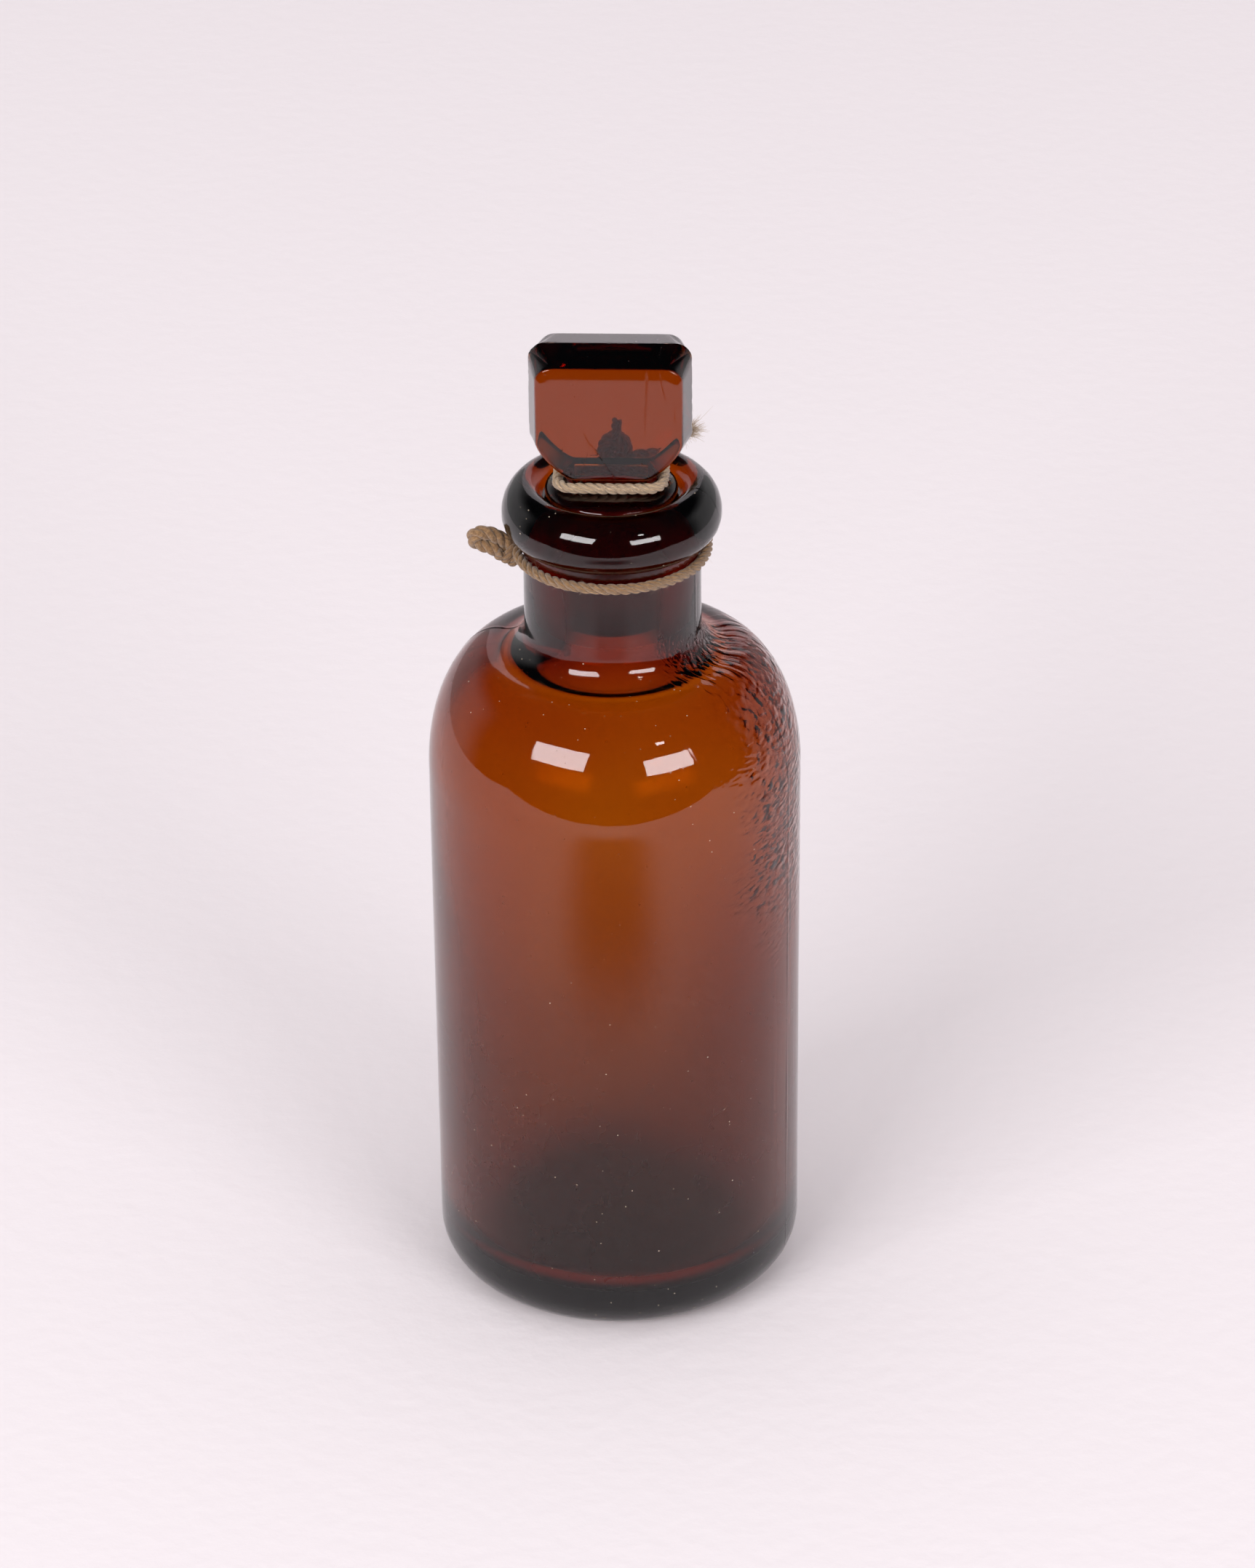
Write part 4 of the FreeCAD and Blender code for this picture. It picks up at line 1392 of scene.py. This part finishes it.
@dataclass
class Studio:
    """Pale paper, two softboxes in front, and a room that is pale to look at but dark to reflect."""

    paper: tuple[float, float, float] = (0.82, 0.775, 0.795)
    near_floor: tuple[float, float, float, float] = (-0.75, 0.75, -0.375, 2.6)
    room: tuple[float, float, float] = (0.87, 0.835, 0.852)
    room_strength: float = 0.845
    dark: tuple[float, float, float] = (0.016, 0.016, 0.02)
    # Centre and radius of the black disc that paints a dark spot into reflections, millimetres.
    reflected_spot: Point = (15.0, -352.0, 4.2)
    wall_strength: float = 0.55
    lights: tuple[Softbox, ...] = (
        Softbox("softbox_left", -35.0, 26.0, 34.0, 17.0, 58.0),
        Softbox("softbox_right", 38.0, 19.5, 30.0, 13.0, 40.0),
        Softbox("lamp_small", 37.5, 39.5, 5.0, 3.0, 1.9),
    )

    def sheet(self, name: str, sides: tuple[float, float, float, float], height: float,
              curve: bool) -> bpy.types.Object:
        """A flat sheet, or one whose far end rolls up: z rises as a quarter circle past the last 0.6 m."""
        x0, x1, y0, y1 = sides
        along = np.linspace(0.0, 1.0, 60)
        y = y0 + (y1 - y0) * along
        z = np.full_like(y, height)
        if curve:
            bend = 0.6
            angle = np.clip((y - (y1 - bend)) / bend, 0.0, 1.0) * np.pi / 2
            z = height + bend * (1 - np.cos(angle)) + np.where(angle >= np.pi / 2 - 1e-6, 1.2, 0.0)
            y = np.where(angle > 0, y1 - bend + bend * np.sin(angle), y)
        line = np.stack([np.column_stack([np.full_like(y, x), y, z]) for x in (x0, x1)], axis=1) / MM
        numbers = np.arange(len(y) * 2).reshape(-1, 2)
        faces = np.stack([numbers[:-1, 0], numbers[:-1, 1], numbers[1:, 1], numbers[1:, 0]], axis=-1)
        made = mesh_object(name, line.reshape(-1, 3), faces)
        return made

    def shade_in_front(self, base: float) -> None:
        """A soft-edged dark patch of painted shade on the table before the bottle, and one small black disc
        that paints a dark spot into reflections.

        Both are seen only in reflections.
        The patch's cover is 0.85 exp(-(x / 80 mm)^4 - ((y + 200 mm) / 62 mm)^4).
        """
        # Painted shade: a dark sheet seen only in reflections darkens the table before the bottle.
        made, n = new_material("painted_shade_patch")
        place = n.add("ShaderNodeTexCoord").outputs["Object"]
        moved = n.add("ShaderNodeMapping", {"Vector": place, "Location": (0.0, 0.2 / 0.062, 0.0),
                                            "Scale": (12.5, 16.1, 0.0)})
        split = n.add("ShaderNodeSeparateXYZ", {"Vector": moved.outputs[0]})
        powers = [n.math("POWER", n.math("ABSOLUTE", split.outputs[axis]), 4.0) for axis in ("X", "Y")]
        cover = n.product(n.math("EXPONENT", n.product(n.math("ADD", *powers), -1.0)), 0.85)
        clear = n.add("ShaderNodeBsdfTransparent")
        dark = n.add("ShaderNodeBsdfDiffuse", {"Color": (0.01, 0.01, 0.01, 1.0)})
        n.finish(n.add("ShaderNodeMixShader", {0: cover, 1: clear.outputs[0], 2: dark.outputs[0]}))
        patch = self.sheet("table_shade", (-0.15, 0.15, -0.32, -0.08), base + 0.002, False)
        patch.data.materials.append(made)
        # Painted reflection: a black disc seen only in reflections puts a dark spot into the glass.
        sides = 32
        x, y, size = self.reflected_spot
        top = base / MM + 2.5
        angle = np.linspace(0.0, 2 * np.pi, sides, endpoint=False)
        ring = np.column_stack([x + size * np.cos(angle), y + size * np.sin(angle), np.full(sides, top)])
        spot = mesh_object("painted_reflection_spot", np.concatenate([ring, [[x, y, top]]]),
                           fan_faces(np.arange(sides), sides, True))
        black = bpy.data.materials.new("painted_reflection_black")
        black.use_nodes = True
        black.node_tree.nodes["Principled BSDF"].inputs["Base Color"].default_value = (0.01, 0.01, 0.01, 1.0)
        spot.data.materials.append(black)
        for piece in (patch, spot):
            for use in ("camera", "diffuse", "transmission", "shadow"):
                setattr(piece, f"visible_{use}", False)

    def build(self, base: float, middle: Vector) -> None:
        """Lays the paper, hangs the lights and sets the room.

        Args:
            base: height of the floor in metres.
            middle: the point that the lights face.
        """
        paper = PaperFinish("paper", self.paper).material()
        near = self.sheet("paper_near", self.near_floor, base, True)
        wide = self.sheet("paper_wide", (-9.0, 9.0, -9.0, 9.0), base - 0.0004, False)
        for piece in (near, wide):
            piece.data.materials.append(paper)
        wide.visible_glossy = False
        self.shade_in_front(base)
        for light in self.lights:
            light.build(middle)
        world = bpy.data.worlds.new("room")
        bpy.context.scene.world = world
        world.use_nodes = True
        world.node_tree.nodes.clear()
        n = Nodes(world.node_tree)
        path = n.add("ShaderNodeLightPath")
        way = n.add("ShaderNodeSeparateXYZ", {"Vector": n.add("ShaderNodeTexCoord").outputs["Generated"]})
        low = n.ramp(way.outputs["Z"], 0.30, 0.62, (1.0, 0.0))
        wall = n.product(low, n.ramp(way.outputs["Y"], -0.05, 0.35))
        room = n.mix(wall, (*self.dark, 1.0), (*(c * self.wall_strength for c in self.room), 1.0))
        colour = n.mix(path.outputs["Is Glossy Ray"], (*(c * self.room_strength for c in self.room), 1.0),
                       room)
        pale = n.mix(path.outputs["Is Camera Ray"], colour, (*self.room, 1.0))
        sky = n.add("ShaderNodeBackground", {"Color": pale, "Strength": 1.0})
        out = n.add("ShaderNodeOutputWorld")
        world.node_tree.links.new(sky.outputs[0], out.inputs["Surface"])


@dataclass
class Viewpoint:
    """The camera: a long lens a little over a metre away, looking down. Millimetres and degrees."""

    azimuth: float = 2.6
    distance: float = 1216.0
    elevation: float = 29.794
    pivot_height: float = 70.4
    lens: float = 159.24
    aim_right: float = 0.1052
    aim_up: float = 0.9924
    roll: float = -0.596

    def build(self) -> bpy.types.Object:
        """Places the camera on its arc, aims it a little right of and above the pivot, and rolls it."""
        a, e = math.radians(self.azimuth), math.radians(self.elevation)
        away = Vector((math.sin(a) * math.cos(e), -math.cos(a) * math.cos(e), math.sin(e)))
        right = Vector((math.cos(a), math.sin(a), 0.0))
        up = right.cross(-away)
        aside, over = (math.tan(math.radians(angle)) for angle in (self.aim_right, self.aim_up))
        look = -away + right * aside + up * over
        look.normalize()
        side = look.cross(Vector((0.0, 0.0, 1.0))).normalized()
        over = side.cross(look)
        c, s = math.cos(math.radians(self.roll)), math.sin(math.radians(self.roll))
        x_axis, y_axis = side * c + over * s, over * c - side * s
        turn = Matrix((x_axis, y_axis, -look)).transposed()
        data = bpy.data.cameras.new("camera")
        data.lens = self.lens
        data.sensor_width = 36.0
        data.clip_start, data.clip_end = 0.05, 50.0
        made = bpy.data.objects.new("camera", data)
        stand = (Vector((0, 0, self.pivot_height)) + away * self.distance) * MM
        made.matrix_world = Matrix.Translation(stand) @ turn.to_4x4()
        bpy.context.scene.collection.objects.link(made)
        bpy.context.scene.camera = made
        return made


def settle_light_paths() -> None:
    """Lets light cross the many glass walls and keeps colours as they are."""
    scene = bpy.context.scene
    scene.cycles.max_bounces = 32
    scene.cycles.transmission_bounces = 28
    scene.cycles.glossy_bounces = 12
    scene.cycles.diffuse_bounces = 4
    scene.view_settings.view_transform = "Standard"


def main() -> None:
    """Builds the camera, the ties, the glass and the stage, in that order."""
    logging.basicConfig(level=logging.INFO, format="%(name)s: %(message)s")
    Viewpoint().build()
    fibres = fibre_group()
    brown = TwineFinish("brown_twine", (0.40, 0.235, 0.105), (0.09, 0.045, 0.018),
                        (0.24, 0.13, 0.055)).material(fibres)
    pale = TwineFinish("pale_twine", (0.62, 0.46, 0.30), (0.22, 0.14, 0.08),
                       (0.42, 0.30, 0.18)).material(fibres)
    hair = TwineFinish("pale_fibre", (0.66, 0.55, 0.42), (0.45, 0.34, 0.22),
                       (0.55, 0.44, 0.32)).material(fibres)
    for piece in NeckTie().build(brown, hair) + WaistTie().build(pale, hair):
        LOG.info("%s: %d faces", piece.name, len(piece.data.polygons))
    wear = glass_wear_group()
    bottle = Bottle()
    centre = bottle.shoulder_radius - bottle.shoulder_in
    inner_haze_and_darkening = inner_haze_and_darkening_group((centre, bottle.shoulder_start, bottle.shoulder_in), bottle.floor_thickness)
    ripples = ripple_group(-0.05, 0.86, (72.0, 127.0))
    for part in (bottle, Stopper()):
        made = part.build()
        part.dress(made, wear, inner_haze_and_darkening, ripples)
        LOG.info("%s: %d faces", made.name, len(made.data.polygons))
    LOG.info("dust: %d faces", len(DustFlakes().build(bottle, hair).data.polygons))
    low, high = CAD_BOX
    Studio().build(low.z, (low + high) / 2)
    settle_light_paths()


if __name__ == "__main__":
    main()
